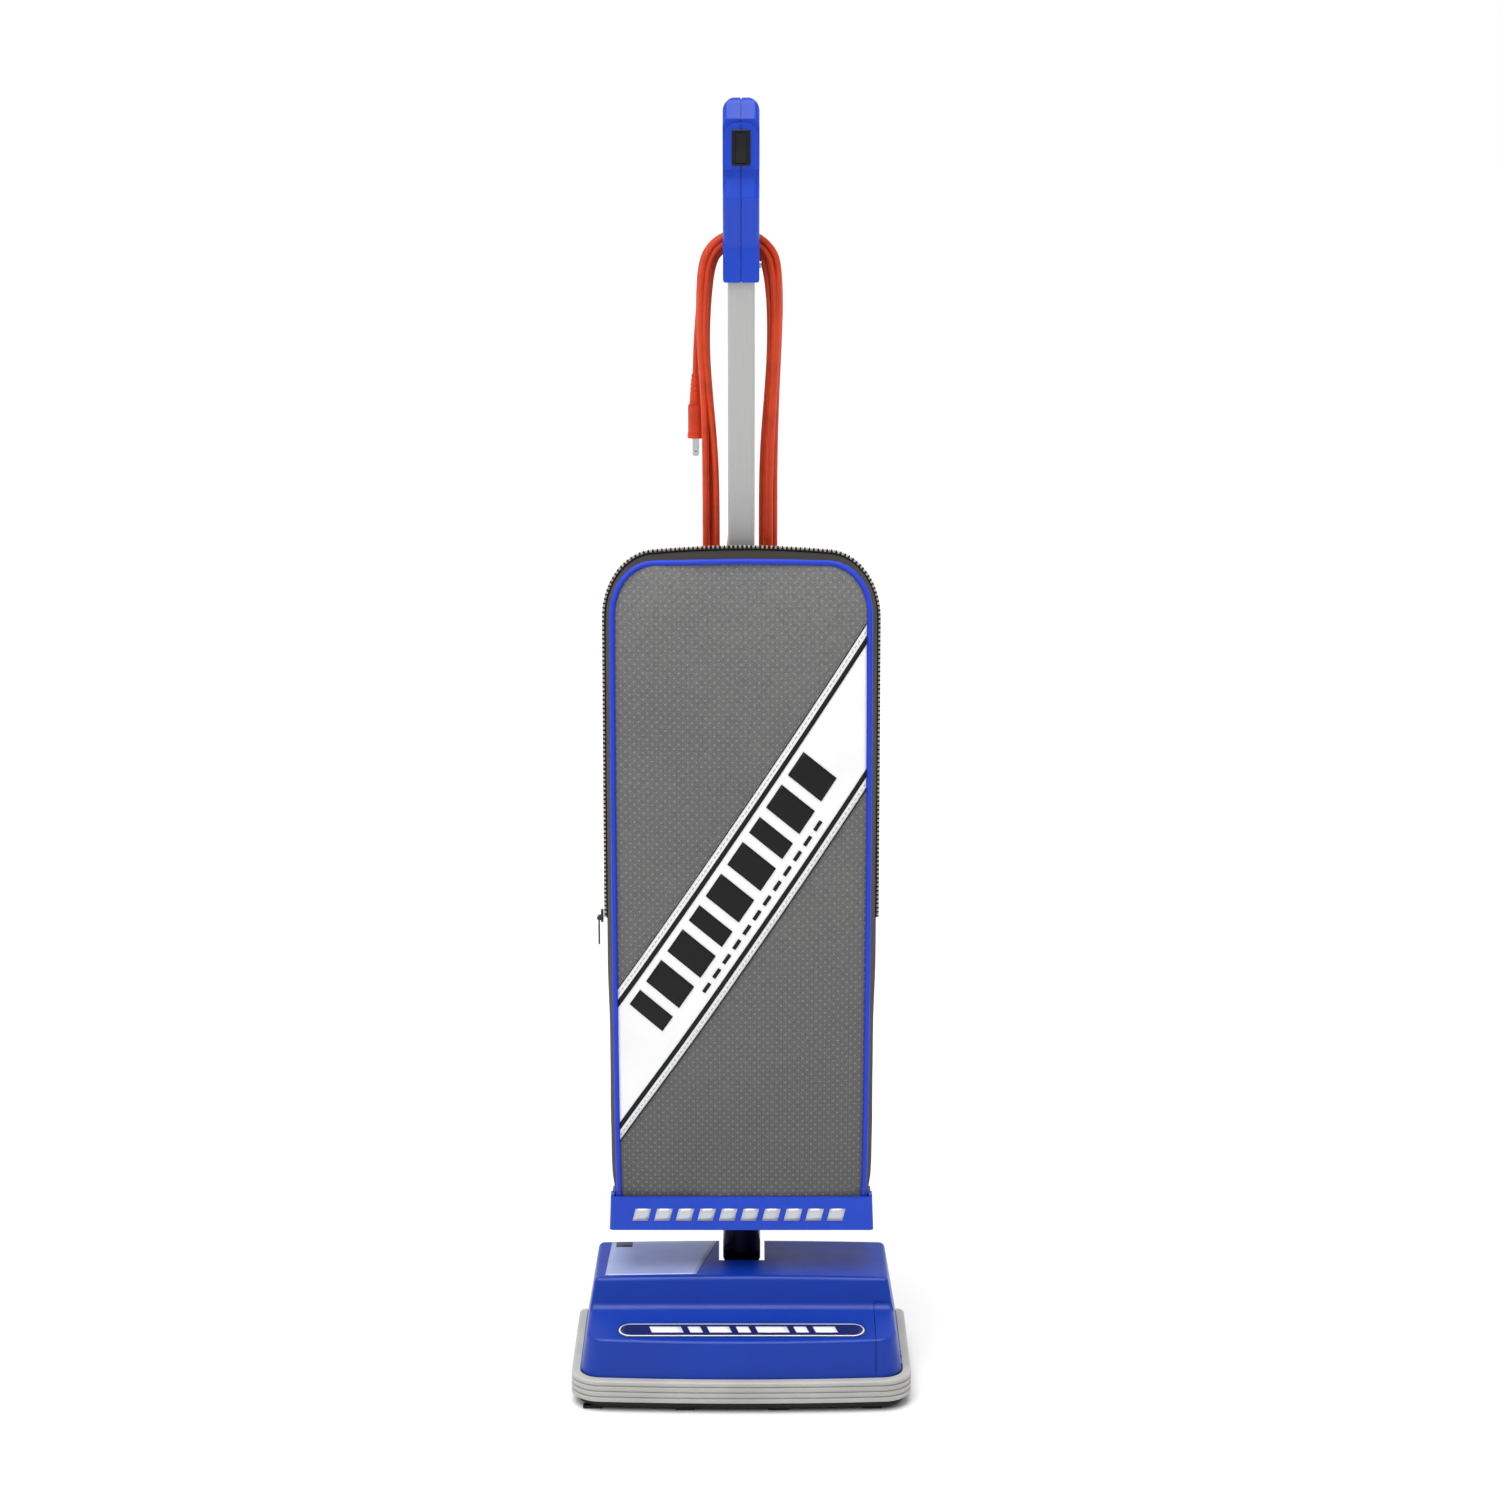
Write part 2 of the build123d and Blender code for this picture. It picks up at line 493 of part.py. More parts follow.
def fan_housing():
    """The scroll round the fan, with its inlet eye on the right and its outlet beside the pivot."""
    floor, roof = MOTOR_Z - 2, MOTOR_Z + 24
    shell = rod_x(48, 86, MOTOR_Y, MOTOR_Z, SCROLL_RADIUS)
    shell += block(48, 74, MOTOR_Y, back(178), floor, roof)
    shell += block(34, 50, back(138), back(178), floor, roof)
    shell -= rod_x(50, 84, MOTOR_Y, MOTOR_Z, SCROLL_RADIUS - 2)
    shell -= block(50, 72, MOTOR_Y, back(176), floor + 2, roof - 2)
    shell -= block(36, 52, back(140), back(176), floor + 2, roof - 2)
    shell -= rod_x(80, 90, MOTOR_Y, MOTOR_Z, 18)
    shell -= rod_x(40, 52, MOTOR_Y, MOTOR_Z, SHAFT_RADIUS + 1)
    shell -= rod_x(30, 40, PIVOT_Y, PIVOT_Z, DUCT_RADIUS)
    return largest(shell)


def shaft_bearing():
    """The ring in the pedestal that carries the shaft's right end."""
    ring = rod_x(100, 106, MOTOR_Y, MOTOR_Z, SHAFT_BEARING_RADIUS)
    return ring - rod_x(99, 107, MOTOR_Y, MOTOR_Z, SHAFT_RADIUS + FIT)


def duct_seal():
    """The soft ring between the right trunnion's end and the fan housing's outlet."""
    ring = rod_x(31.3, 33.9, PIVOT_Y, PIVOT_Z, 12.5)
    return ring - rod_x(30, 36, PIVOT_Y, PIVOT_Z, DUCT_RADIUS)


def capacitor():
    """The suppression capacitor beside the motor, where the inner lead ends."""
    can = block(-84, -52, back(151.5), back(167), 60, 84)
    can = fillet(can.edges().filter_by(Axis.X), 3)
    return can - rod_x(-60, -50, PIVOT_Y, PIVOT_Z, WIRE_RADIUS)


def pivot_bush(side):
    """The plain bearing between the chassis and one trunnion."""
    x0, x1 = sorted((side * 25.4, side * 32.0))
    bush = rod_x(x0, x1, PIVOT_Y, PIVOT_Z, BUSH_RADIUS)
    return bush - rod_x(x0 - 1, x1 + 1, PIVOT_Y, PIVOT_Z, TRUNNION_RADIUS + FIT)


def wheel(side):
    """A rear wheel: its dished hub and its tyre."""
    x0, x1 = sorted((side * (WHEEL_X - WHEEL_WIDTH / 2), side * (WHEEL_X + WHEEL_WIDTH / 2)))
    hub = rod_x(x0, x1, AXLE_Y, WHEEL_RADIUS, WHEEL_RADIUS - TYRE_THICK)
    for face_x in (x0, x1):
        dish = rod_x(face_x - 3, face_x + 3, AXLE_Y, WHEEL_RADIUS, 17)
        hub -= dish - rod_x(face_x - 3, face_x + 3, AXLE_Y, WHEEL_RADIUS, 7)
    hub -= rod_x(x0 - 1, x1 + 1, AXLE_Y, WHEEL_RADIUS, AXLE_RADIUS + FIT)
    tyre = rod_x(x0, x1, AXLE_Y, WHEEL_RADIUS, WHEEL_RADIUS)
    tyre = fillet(tyre.edges().filter_by(GeomType.CIRCLE), 2.5)
    return hub, tyre - rod_x(x0 - 1, x1 + 1, AXLE_Y, WHEEL_RADIUS, WHEEL_RADIUS - TYRE_THICK)


def axles():
    """The two fixed wheel axles."""
    inner, outer = WHEEL_X - WHEEL_WIDTH / 2 - 6.5, WHEEL_X + WHEEL_WIDTH / 2 + 6.5
    return mirrored(rod_x(inner, outer, AXLE_Y, WHEEL_RADIUS, AXLE_RADIUS))


def pan_screw(x, y, z, length, head_radius=3.8):
    """A screw put in from below, its head at z."""
    head = rod_z(z, z + 2.4, x, y, head_radius)
    head -= block(x - 2.6, x + 2.6, y - 0.5, y + 0.5, z - 1, z + 1.2)
    head -= block(x - 0.5, x + 0.5, y - 2.6, y + 2.6, z - 1, z + 1.2)
    return head + rod_z(z + 2, z + length, x, y, 2.1)


# ---------------------------------------------------------------- neck and tray
def neck_axis():
    """The neck tube's frame: origin on the pivot, local +Z up along the leaning tube."""
    return Pos(0, PIVOT_Y, PIVOT_Z) * Rot(NECK_LEAN, 0, 0)


def swivel_neck():
    """The black elbow that the handle tilts on: a round drum with hollow trunnions, the neck tube,
    a flange under the tray and the socket for the handle tube."""
    bulge = [
        Line((-DRUM_HALF, 0), (-DRUM_HALF, 22)),
        ThreePointArc((-DRUM_HALF, 22), (0, DRUM_RADIUS), (DRUM_HALF, 22)),
        Polyline((DRUM_HALF, 22), (DRUM_HALF, 0), (-DRUM_HALF, 0)),
    ]
    drum = Pos(0, PIVOT_Y, PIVOT_Z) * revolve(make_face(bulge), axis=Axis.X)
    body = drum + rod_x(-31, 31, PIVOT_Y, PIVOT_Z, TRUNNION_RADIUS)
    reach = (TRAY_BOTTOM - PIVOT_Z) / math.cos(math.radians(NECK_LEAN))
    skirt = 34  # the wider upper tube starts this far above the pivot
    body += neck_axis() * (Pos(0, 0, (skirt + reach) / 2) * Cylinder(NECK_RADIUS, reach - skirt + 6))
    body += neck_axis() * (Pos(0, 0, reach / 2) * Cylinder(NECK_RADIUS - 1.6, reach))
    body -= block(-60, 60, back(0), back(260), TRAY_BOTTOM - 0.2, 300)
    body += block(-36, 36, NECK_TOP_Y - 24, TUBE_Y + 11, TRAY_BOTTOM - 7, TRAY_BOTTOM - 0.2)
    body += block(-17, 17, TRAY_REAR + 0.6, TUBE_Y + 11, TRAY_BOTTOM - 7, 236)
    edges = body.edges().filter_by(Axis.Z).filter_by_position(Axis.Z, 160, 220)
    body = fillet(edges, 3)
    body -= tube_bar(TRAY_BOTTOM, 240, 0.08)
    body -= neck_axis() * (Pos(0, 0, 60) * Cylinder(14.5, 120))
    body -= rod_x(-13.5, 13.5, PIVOT_Y, PIVOT_Z, 17)
    body -= rod_x(0, 40, PIVOT_Y, PIVOT_Z, 9.5)
    body -= handle_wire(WIRE_RADIUS + 0.15)
    body -= rod_x(-32, -20, PIVOT_Y, PIVOT_Z, WIRE_RADIUS + 0.15)
    for z in SOCKET_SCREWS_Z:
        body -= rod_x(-20, 20, CROSS_SCREW_Y, z, 1.85)
    for x in (-TRAY_SCREW_X, TRAY_SCREW_X):
        body -= rod_z(TRAY_BOTTOM - 10, TRAY_BOTTOM, x, NECK_TOP_Y, 2.05)
    return largest(body)


def tray_block(inset, z0):
    """The tray's tapered outer shape for inset 0, or the channel inside its walls."""
    spread = (TRAY_TOP - TRAY_BOTTOM) * math.tan(math.radians(TRAY_DRAFT))
    half = TRAY_HALF + spread - inset
    front, rear = TRAY_FRONT - spread + inset, TRAY_REAR - inset
    plan = RectangleRounded(2 * half, rear - front, 4 - 0.9 * inset)
    return extrude(Pos(0, (front + rear) / 2, z0) * plan, amount=TRAY_TOP - TRAY_BOTTOM, taper=TRAY_DRAFT)


def tray():
    """The blue channel that clamps the bag's bottom edge, with a tall front lip."""
    shell = tray_block(0, TRAY_BOTTOM)
    shell -= tray_block(WALL, TRAY_BOTTOM + 3)
    shell -= block(-200, 200, TRAY_FRONT + 14, TRAY_REAR + 5, TRAY_SIDE_TOP, TRAY_TOP + 5)
    for side in (-1, 1):  # small round lugs at the ends of the front lip
        x0, x1 = sorted((side * (TRAY_HALF - 3.2), side * (TRAY_HALF - 0.4)))
        shell += rod_x(x0, x1, TRAY_FRONT + 7, TRAY_TOP - 0.8, 4.4)
    shell -= neck_axis() * (Pos(0, 0, 84) * Cylinder(15, 30))
    for x in (-TRAY_SCREW_X, TRAY_SCREW_X):
        shell -= rod_z(TRAY_BOTTOM - 1, TRAY_BOTTOM + 5, x, NECK_TOP_Y, 2.1)
    return largest(shell)


def tray_screws():
    """The screws that hold the tray down on the neck's flange."""
    made = []
    for x in (-TRAY_SCREW_X, TRAY_SCREW_X):
        shank = rod_z(TRAY_BOTTOM - 6, TRAY_BOTTOM + 3, x, NECK_TOP_Y, 2.0)
        made.append(shank + rod_z(TRAY_BOTTOM + 3, TRAY_BOTTOM + 5, x, NECK_TOP_Y, 3.8))
    return group(made)


# ---------------------------------------------------------------- bag
def bag_front_line(inset):
    """(Y, Z) points down the bag's front: full in the middle, tucked in at the tray."""
    return [
        (TRAY_FRONT + 4.4 + inset, BAG_BOTTOM + 0.5),
        (TRAY_FRONT + 3.6 + inset, TRAY_TOP + 6),
        (back(72) + inset, 330),
        (back(67) + inset, 480),
        (back(73) + inset, 630),
        (back(93) + inset, 750),
        (back(112) + inset, 800 - inset),
    ]


def outline_xz(edges, y0, y1):
    """A closed outline of (X, Z) edges as a solid between two depths."""
    face = Plane.XZ * make_face(edges)
    return Pos(0, max(y0, y1), 0) * extrude(face, amount=abs(y1 - y0))


def bag_outline(grow):
    """The bag seen from the front at its zip: straight sides, round shoulders, a slightly arched top."""
    half, shoulder = BAG_HALF_ZIP + grow, BAG_TOP - 8 + grow
    low = BAG_BOTTOM - grow
    edges = [
        Polyline((-half, shoulder), (-half, low), (half, low), (half, shoulder)),
        ThreePointArc((-half, shoulder), (0, BAG_TOP + grow), (half, shoulder)),
    ]
    face = make_face(edges)
    corners = face.vertices().filter_by_position(Axis.Y, shoulder - 1, shoulder + 1)
    return fillet(corners, SHOULDER_RADIUS + grow)


def bag_solid(inset):
    """The dust bag's outer shape for inset 0, or the space inside its cloth."""
    outline = Plane.XZ * bag_outline(-inset)
    front = Pos(0, ZIP_Y, 0) * extrude(outline, amount=ZIP_Y - back(55), taper=FRONT_TAPER)
    rear = Pos(0, ZIP_Y, 0) * extrude(outline, amount=-(BAG_REAR - inset - ZIP_Y), taper=REAR_TAPER)
    points = bag_front_line(inset)
    ceiling = BAG_TOP + 24
    behind = Polyline(
        points[-1],
        (points[-1][0], ceiling),
        (back(200), ceiling),
        (back(200), points[0][1]),
        points[0],
    )
    side = make_face([Spline(*points), behind])
    body = (front + rear) & extrude(Plane.YZ.offset(-200) * side, amount=400)
    foot, wide = TRAY_HALF - 4 - inset, BAG_HALF_ZIP + 10
    right = [  # below the zip the sides draw in to the tray
        (foot, 140),
        (foot, TRAY_TOP),
        (foot + 3.5, 340),
        (BAG_HALF_ZIP - inset, 420),
        (wide, 480),
        (wide, ceiling),
    ]
    left = [(-x, z) for x, z in reversed(right)]
    return body & outline_xz(polygon(*right, *left), back(0), back(260))


def dust_bag():
    """The outer bag: closed cloth walls, with a round hole in its bottom for the fill tube."""
    shell = bag_solid(0) - bag_solid(CLOTH)
    shell -= fill_path(FILL_RADIUS + 1.2, 70, 110)
    return largest(shell)


def fill_path(radius, start, end):
    """A cylinder along the neck's axis, between two distances from the pivot."""
    return neck_axis() * (Pos(0, 0, (start + end) / 2) * Cylinder(radius, end - start))


def fill_tube():
    """The rigid spout that carries dust from the neck into the paper bag."""
    spout = fill_path(FILL_RADIUS, FILL_START, 160) + fill_path(FILL_RADIUS + 3, 118, 121)
    return spout - fill_path(FILL_RADIUS - 1.6, FILL_START - 5, 165)


def paper_bag():
    """The disposable inner bag, part filled, closed but for its mouth."""
    width, deep, height, paper = 190, 48, 500, 1.5
    middle = Pos(0, back(125), 200 + height / 2)
    outer = middle * Box(width, deep, height)
    outer = fillet(outer.edges().filter_by(Axis.Z), 20)
    inner = middle * Box(width - 2 * paper, deep - 2 * paper, height - 2 * paper)
    inner = fillet(inner.edges().filter_by(Axis.Z), 20 - paper)
    return outer - inner - fill_path(FILL_RADIUS + 0.3, 110, 150)


def bag_collar():
    """The card plate round the paper bag's mouth."""
    plate = block(-34, 34, back(102), back(148), 196.8, 199.6)
    return plate - fill_path(FILL_RADIUS + 0.3, 100, 150)


def zipper():
    """The zip's tape and teeth, up one side of the bag, over the top and down the other side."""
    band = Plane.XZ * bag_outline(ZIP_THICK + 0.3) - Plane.XZ * bag_outline(0.3)
    strip = Pos(0, ZIP_Y + ZIP_WIDTH / 2, 0) * extrude(band, amount=ZIP_WIDTH)
    return strip - block(-200, 200, back(0), back(260), 0, ZIP_END_Z)


def zip_slider():
    """The slider that runs on the zip's straight left side."""
    x = -BAG_HALF_ZIP - 0.3 - ZIP_THICK - GAP
    slider = block(x - 2.4, x, ZIP_Y - 4, ZIP_Y + 4, ZIP_END_Z + 1, ZIP_END_Z + 13)
    slider = fillet(slider.edges().filter_by(Axis.X), 1.5)
    for y in (ZIP_Y - 2.6, ZIP_Y + 2.6):  # the eye that holds the pull's pin
        slider += rod_y(y - 0.9, y + 0.9, PULL_X, PULL_Z, 2.0)
        slider += block(PULL_X, x - 1, y - 0.9, y + 0.9, PULL_Z - 2.0, PULL_Z + 2.0)
    return slider + rod_y(ZIP_Y - 2, ZIP_Y + 2, PULL_X, PULL_Z, 0.8)


def zip_pull():
    """The pull tab hanging from the slider."""
    tab = rod_y(ZIP_Y - 1.4, ZIP_Y + 1.4, PULL_X, PULL_Z, 1.9)
    tab += block(PULL_X - 0.8, PULL_X + 0.8, ZIP_Y - 1.4, ZIP_Y + 1.4, PULL_Z - 8, PULL_Z)
    tab += block(PULL_X - 0.8, PULL_X + 0.8, ZIP_Y - 3.2, ZIP_Y + 3.2, PULL_Z - 26, PULL_Z - 7)
    tab -= rod_y(ZIP_Y - 4, ZIP_Y + 4, PULL_X, PULL_Z, 0.8 + FIT)
    return tab


# ---------------------------------------------------------------- handle tube and hooks
def tube_bar(z0, z1, grow=0.0):
    """A bar of the handle tube's section, from z0 to z1."""
    section = RectangleRounded(TUBE_WIDTH + 2 * grow, TUBE_DEPTH + 2 * grow, 2.6 + grow)
    return extrude(Pos(0, TUBE_Y, z0) * section, amount=z1 - z0)


def handle_tube():
    """The flat tube from the neck's socket up into the grip, with its screw holes."""
    tube = tube_bar(TUBE_BOTTOM, TUBE_END) - tube_bar(TUBE_BOTTOM - 5, TUBE_END + 5, -TUBE_WALL)
    for z in (CLAMP_SCREW_Z, *SOCKET_SCREWS_Z):
        tube -= rod_x(-20, 20, CROSS_SCREW_Y, z, 1.9)
    for z in PLATE_SCREWS_Z:
        tube -= rod_y(TUBE_Y + 5, TUBE_Y + 10, 0, z, 1.6)
    return tube


def socket_screws():
    """Screws across the neck's socket that hold the handle tube."""
    made = []
    for z in SOCKET_SCREWS_Z:
        shank = rod_x(-17, 17, CROSS_SCREW_Y, z, 1.8)
        made.append(shank + rod_x(17, 19.4, CROSS_SCREW_Y, z, 3.6))
    return group(made)


def lower_hook_bracket():
    """The plate screwed to the tube's back that the swivelling hook turns on."""
    back_face = TUBE_Y + TUBE_DEPTH / 2
    plate = block(-12.5, 12.5, back_face, back_face + 2.2, LOWER_HOOK_Z - 18, LOWER_HOOK_Z + 20)
    plate = fillet(plate.edges().filter_by(Axis.Y), 4)
    for z in PLATE_SCREWS_Z:
        plate -= rod_y(back_face - 1, back_face + 3, 0, z, 1.55)
    stud = rod_y(back_face, HANK_REAR_Y + 8.2, 0, LOWER_HOOK_Z, 3.0)
    head = rod_y(HANK_REAR_Y + 6.4, HANK_REAR_Y + 8.2, 0, LOWER_HOOK_Z, 4.6)
    return plate + stud + head


def bracket_screws():
    """Two small screws through the lower hook's plate."""
    back_face = TUBE_Y + TUBE_DEPTH / 2
    made = []
    for z in PLATE_SCREWS_Z:
        shank = rod_y(back_face - 4, back_face + 2.2, 0, z, 1.5)
        made.append(shank + rod_y(back_face + 2.2, back_face + 3.6, 0, z, 3.0))
    return group(made)


def lower_hook():
    """The hook that turns up to let the wound cord slip off: a hub inside the hank and a lip behind it."""
    back_face = TUBE_Y + TUBE_DEPTH / 2 + 2.2 + GAP
    hub = rod_y(back_face, HANK_REAR_Y + 6.0, 0, LOWER_HOOK_Z, 8.5)
    hub += block(-10, 10, HANK_REAR_Y + 1.2, HANK_REAR_Y + 6.0, LOWER_HOOK_Z - 40, LOWER_HOOK_Z)
    hub = fillet(hub.edges().filter_by(Axis.Y).filter_by_position(Axis.Z, 0, LOWER_HOOK_Z - 39), 6)
    return hub - rod_y(back_face - 1, HANK_REAR_Y + 9, 0, LOWER_HOOK_Z, 3.0 + FIT)


def upper_hook():
    """The fixed hook under the grip, with a lip behind the hank."""
    half, z0, z1 = 12.5, HANK_TOP_Z - 0.5, HANK_TOP_Z + 12.2
    hook = block(-half, half, COLUMN_BACK_Y, HANK_REAR_Y + 5.5, z0, z1)
    hook += block(-half, half, HANK_REAR_Y + 1.2, HANK_REAR_Y + 5.5, z0, z1 + 21)
    return fillet(hook.edges().filter_by(Axis.Y), 3)


def bag_clip():
    """The spring clip that holds the bag's top to the handle tube."""
    front = TUBE_Y - TUBE_DEPTH / 2
    plate = block(-11, 11, BAG_REAR + GAP, front, 752, 786)
    arms = block(-15.2, 15.2, front - 2, TUBE_Y + 4, 758, 780) - tube_bar(750, 790, 0.05)
    return plate + arms


# ---------------------------------------------------------------- grip
def grip_face():
    """The grip's outline seen from the side: collar, chin, switch face, and the loop for the hand."""
    front_edge = [
        Line((COLLAR_FRONT_Y, COLLAR_BOTTOM), (COLLAR_FRONT_Y, COLLAR_TOP)),
        ThreePointArc((COLLAR_FRONT_Y, COLLAR_TOP), (back(157.5), 1107), (CHIN_Y, CHIN_Z)),
        Polyline((CHIN_Y, CHIN_Z), (FACE_Y, 1147), (FACE_Y, 1201), (back(168), TOTAL_HEIGHT)),
    ]
    rear_edge = Polyline(
        (back(168), TOTAL_HEIGHT),
        (back(236), TOTAL_HEIGHT - 3),
        (LOOP_BACK_Y, 1190),
        (LOOP_BACK_Y, 1136),
        (back(247), LOOP_BOTTOM),
        (COLUMN_BACK_Y, LOOP_BOTTOM),
        (COLUMN_BACK_Y, COLLAR_BOTTOM),
        (COLLAR_FRONT_Y, COLLAR_BOTTOM),
    )
    face = make_face([*front_edge, rear_edge])
    for x, y, radius in (
        (CHIN_Y, CHIN_Z, 3),
        (back(168), TOTAL_HEIGHT, 10),
        (back(236), TOTAL_HEIGHT - 3, 28),
        (LOOP_BACK_Y, 1190, 22),
        (LOOP_BACK_Y, 1136, 22),
        (back(247), LOOP_BOTTOM, 14),
        (COLUMN_BACK_Y, LOOP_BOTTOM, 4),
    ):
        face = fillet(face.vertices().sort_by_distance((x, y, 0))[0], radius)
    return face


def hand_hole():
    """The opening for the fingers, in the side view."""
    corners = [(203, 1118), (237, 1118), (246, 1138), (246, 1184), (234, 1206), (203, 1206)]
    face = make_face(polygon(*[(back(y), z) for y, z in corners]))
    return fillet(face.vertices(), 8)


def grip_solid(inset):
    """The grip's outer shape for inset 0, or the space inside its walls."""
    outer_face, hole = grip_face(), hand_hole()
    if inset:
        outer_face = offset(outer_face, -inset, kind=Kind.ARC)
        hole = offset(hole, inset, kind=Kind.ARC)
    half = GRIP_HALF - inset
    return extrude(Plane.YZ.offset(-half) * (outer_face - hole), amount=2 * half) + pod_solid(inset)


def front_silhouette(inset):
    """The grip's outline seen from the front: straight sides and round corners."""
    half, top, bottom = GRIP_HALF - inset, TOTAL_HEIGHT - inset, COLLAR_BOTTOM
    face = make_face(polygon((-half, bottom), (half, bottom), (half, top), (-half, top)))
    face = fillet(face.vertices().filter_by_position(Axis.Y, top - 1, top + 1), 12.5 - inset)
    face = fillet(face.vertices().filter_by_position(Axis.Y, bottom - 1, bottom + 1), 3)
    return Pos(0, back(300), 0) * extrude(Plane.XZ * face, amount=200)


def pod_solid(inset):
    """The raised panel round the switch, arched at its top."""
    half, low, high = GRIP_HALF - 0.6 - inset, POD_BOTTOM + inset, POD_TOP - inset
    panel = make_face(polygon((-half, low), (half, low), (half, high), (-half, high)))
    panel = fillet(panel.vertices().filter_by_position(Axis.Y, high - 1, high + 1), 13.5 - inset)
    return Pos(0, FACE_Y + 6, 0) * extrude(Plane.XZ * panel, amount=FACE_Y + 6 - POD_FRONT - inset)


def seam_groove():
    """The shallow groove that runs all round the grip where its two halves meet."""
    deep = FACE_Y + 3
    pod = polygon((POD_FRONT, POD_BOTTOM), (deep, POD_BOTTOM), (deep, POD_TOP), (POD_FRONT, POD_TOP))
    outline, hole = grip_face() + make_face(pod), hand_hole()
    rim = outline - offset(outline, -SEAM_DEPTH, kind=Kind.ARC)
    rim += offset(hole, SEAM_DEPTH, kind=Kind.ARC) - hole
    return extrude(Plane.YZ.offset(-SEAM_HALF) * rim, amount=2 * SEAM_HALF)


def grip_shell():
    """The hollow grip before it is split, with its screw posts, switch window and cord hole."""
    outer = grip_solid(0)
    sides = outer.edges().filter_by_position(Axis.X, GRIP_HALF - 0.01, GRIP_HALF + 0.01)
    sides += outer.edges().filter_by_position(Axis.X, -GRIP_HALF - 0.01, -GRIP_HALF + 0.01)
    upper = [e for e in sides if e.center().Z > CHIN_Z - 40 and e.center().Y > FACE_Y + 1]
    outer = fillet(upper, 5) & front_silhouette(0)
    shell = outer - (grip_solid(WALL) & front_silhouette(WALL))
    for z in (COLLAR_BOTTOM, COLLAR_TOP - 4):  # ribs that grip the tube
        rib = block(-GRIP_HALF + 1, GRIP_HALF - 1, COLLAR_FRONT_Y + 1, COLUMN_BACK_Y - 1, z, z + 3)
        shell += rib - tube_bar(z - 1, z + 5)
    shell -= tube_bar(COLLAR_BOTTOM - 5, TUBE_END)
    half = SWITCH_WIDTH / 2 - 1
    shell -= block(-half, half, POD_FRONT - 5, FACE_Y + 8, SWITCH_Z - 15.4, SWITCH_Z + 15.4)
    for y, z in GRIP_SCREWS:
        shell += rod_x(-GRIP_HALF + 1, GRIP_HALF - 1, y, z, 3.8)
        shell -= rod_x(-GRIP_HALF + 3, GRIP_HALF + 1, y, z, 1.75)
        shell -= rod_x(GRIP_HALF - 3, GRIP_HALF + 1, y, z, 3.4)
    shell -= rod_x(-GRIP_HALF + 1.5, GRIP_HALF + 1, CROSS_SCREW_Y, CLAMP_SCREW_Z, 1.9)
    shell -= rod_z(LOOP_BOTTOM - 5, LOOP_BOTTOM + 5, 0, RELIEF_Y, RELIEF_RADIUS + 0.1)
    return shell - seam_groove()


def grip_halves():
    """The grip's left and right mouldings."""
    shell = grip_shell()
    left = shell & block(-40, -0.05, back(100), back(300), 1000, 1300)
    right = shell & block(0.05, 40, back(100), back(300), 1000, 1300)
    return largest(left), largest(right)


def grip_screws():
    """Three screws that hold the grip's halves together, and one that clamps it to the tube."""
    made = []
    for y, z in GRIP_SCREWS:
        shank = rod_x(-GRIP_HALF + 3.5, GRIP_HALF - 2.8, y, z, 1.6)
        made.append(shank + rod_x(GRIP_HALF - 2.9, GRIP_HALF - 1.2, y, z, 3.0))
    shank = rod_x(-GRIP_HALF + 2, GRIP_HALF, CROSS_SCREW_Y, CLAMP_SCREW_Z, 1.8)
    made.append(shank + rod_x(GRIP_HALF, GRIP_HALF + 1.8, CROSS_SCREW_Y, CLAMP_SCREW_Z, 3.4))
    return group(made)


def switch_bezel():
    """The switch's black frame, with a window for the rocker."""
    front = POD_FRONT - 1.6
    frame = block(-8.6, 8.6, front, POD_FRONT, SWITCH_Z - 16.3, SWITCH_Z + 16.3)
    frame = fillet(frame.edges().filter_by(Axis.Y), 1.4)
    frame = fillet(frame.edges().filter_by_position(Axis.Y, front - 0.01, front + 0.01), 0.8)
    frame += block(-7.4, 7.4, POD_FRONT, POD_FRONT + 15, SWITCH_Z - 15.2, SWITCH_Z + 15.2)
    half = ROCKER_HALF + GAP
    frame -= block(-half, half, POD_FRONT - 3, POD_FRONT + 9, SWITCH_Z - 14.4, SWITCH_Z + 14.4)
    return frame + rod_x(-7.4, 7.4, ROCKER_AXIS_Y, SWITCH_Z, 1.0)  # the rocker's pin


def rocker():
    """The rocker: two shallow faces meeting in a valley, turning on a pin through its middle."""
    face = POD_FRONT - 1.6
    profile = [
        (face + 0.2, SWITCH_Z + 13.6),
        (face + 1.0, SWITCH_Z),
        (face - 2.2, SWITCH_Z - 13.6),
        (face + 3.0, SWITCH_Z - 13.6),
        (face + 6.4, SWITCH_Z - 4),
        (face + 6.4, SWITCH_Z + 4),
        (face + 3.4, SWITCH_Z + 13.6),
    ]
    paddle = side_profile(polygon(*profile), -ROCKER_HALF, ROCKER_HALF)
    return paddle - rod_x(-10, 10, ROCKER_AXIS_Y, SWITCH_Z, 1.0 + FIT)


# ---------------------------------------------------------------- cord
def strain_relief():
    """The tapered sleeve where the cord leaves the grip, pointing down."""
    flange = rod_z(LOOP_BOTTOM + WALL + 0.2, LOOP_BOTTOM + WALL + 2.2, 0, RELIEF_Y, RELIEF_RADIUS + 2.4)
    collar = rod_z(LOOP_BOTTOM - 1.5, LOOP_BOTTOM + WALL + 2.2, 0, RELIEF_Y, RELIEF_RADIUS)
    cone = Cone(CORD_DIAMETER / 2 + 1.0, RELIEF_RADIUS, 28.5)
    return flange + collar + Pos(0, RELIEF_Y, LOOP_BOTTOM - 1.5 - 14.25) * cone


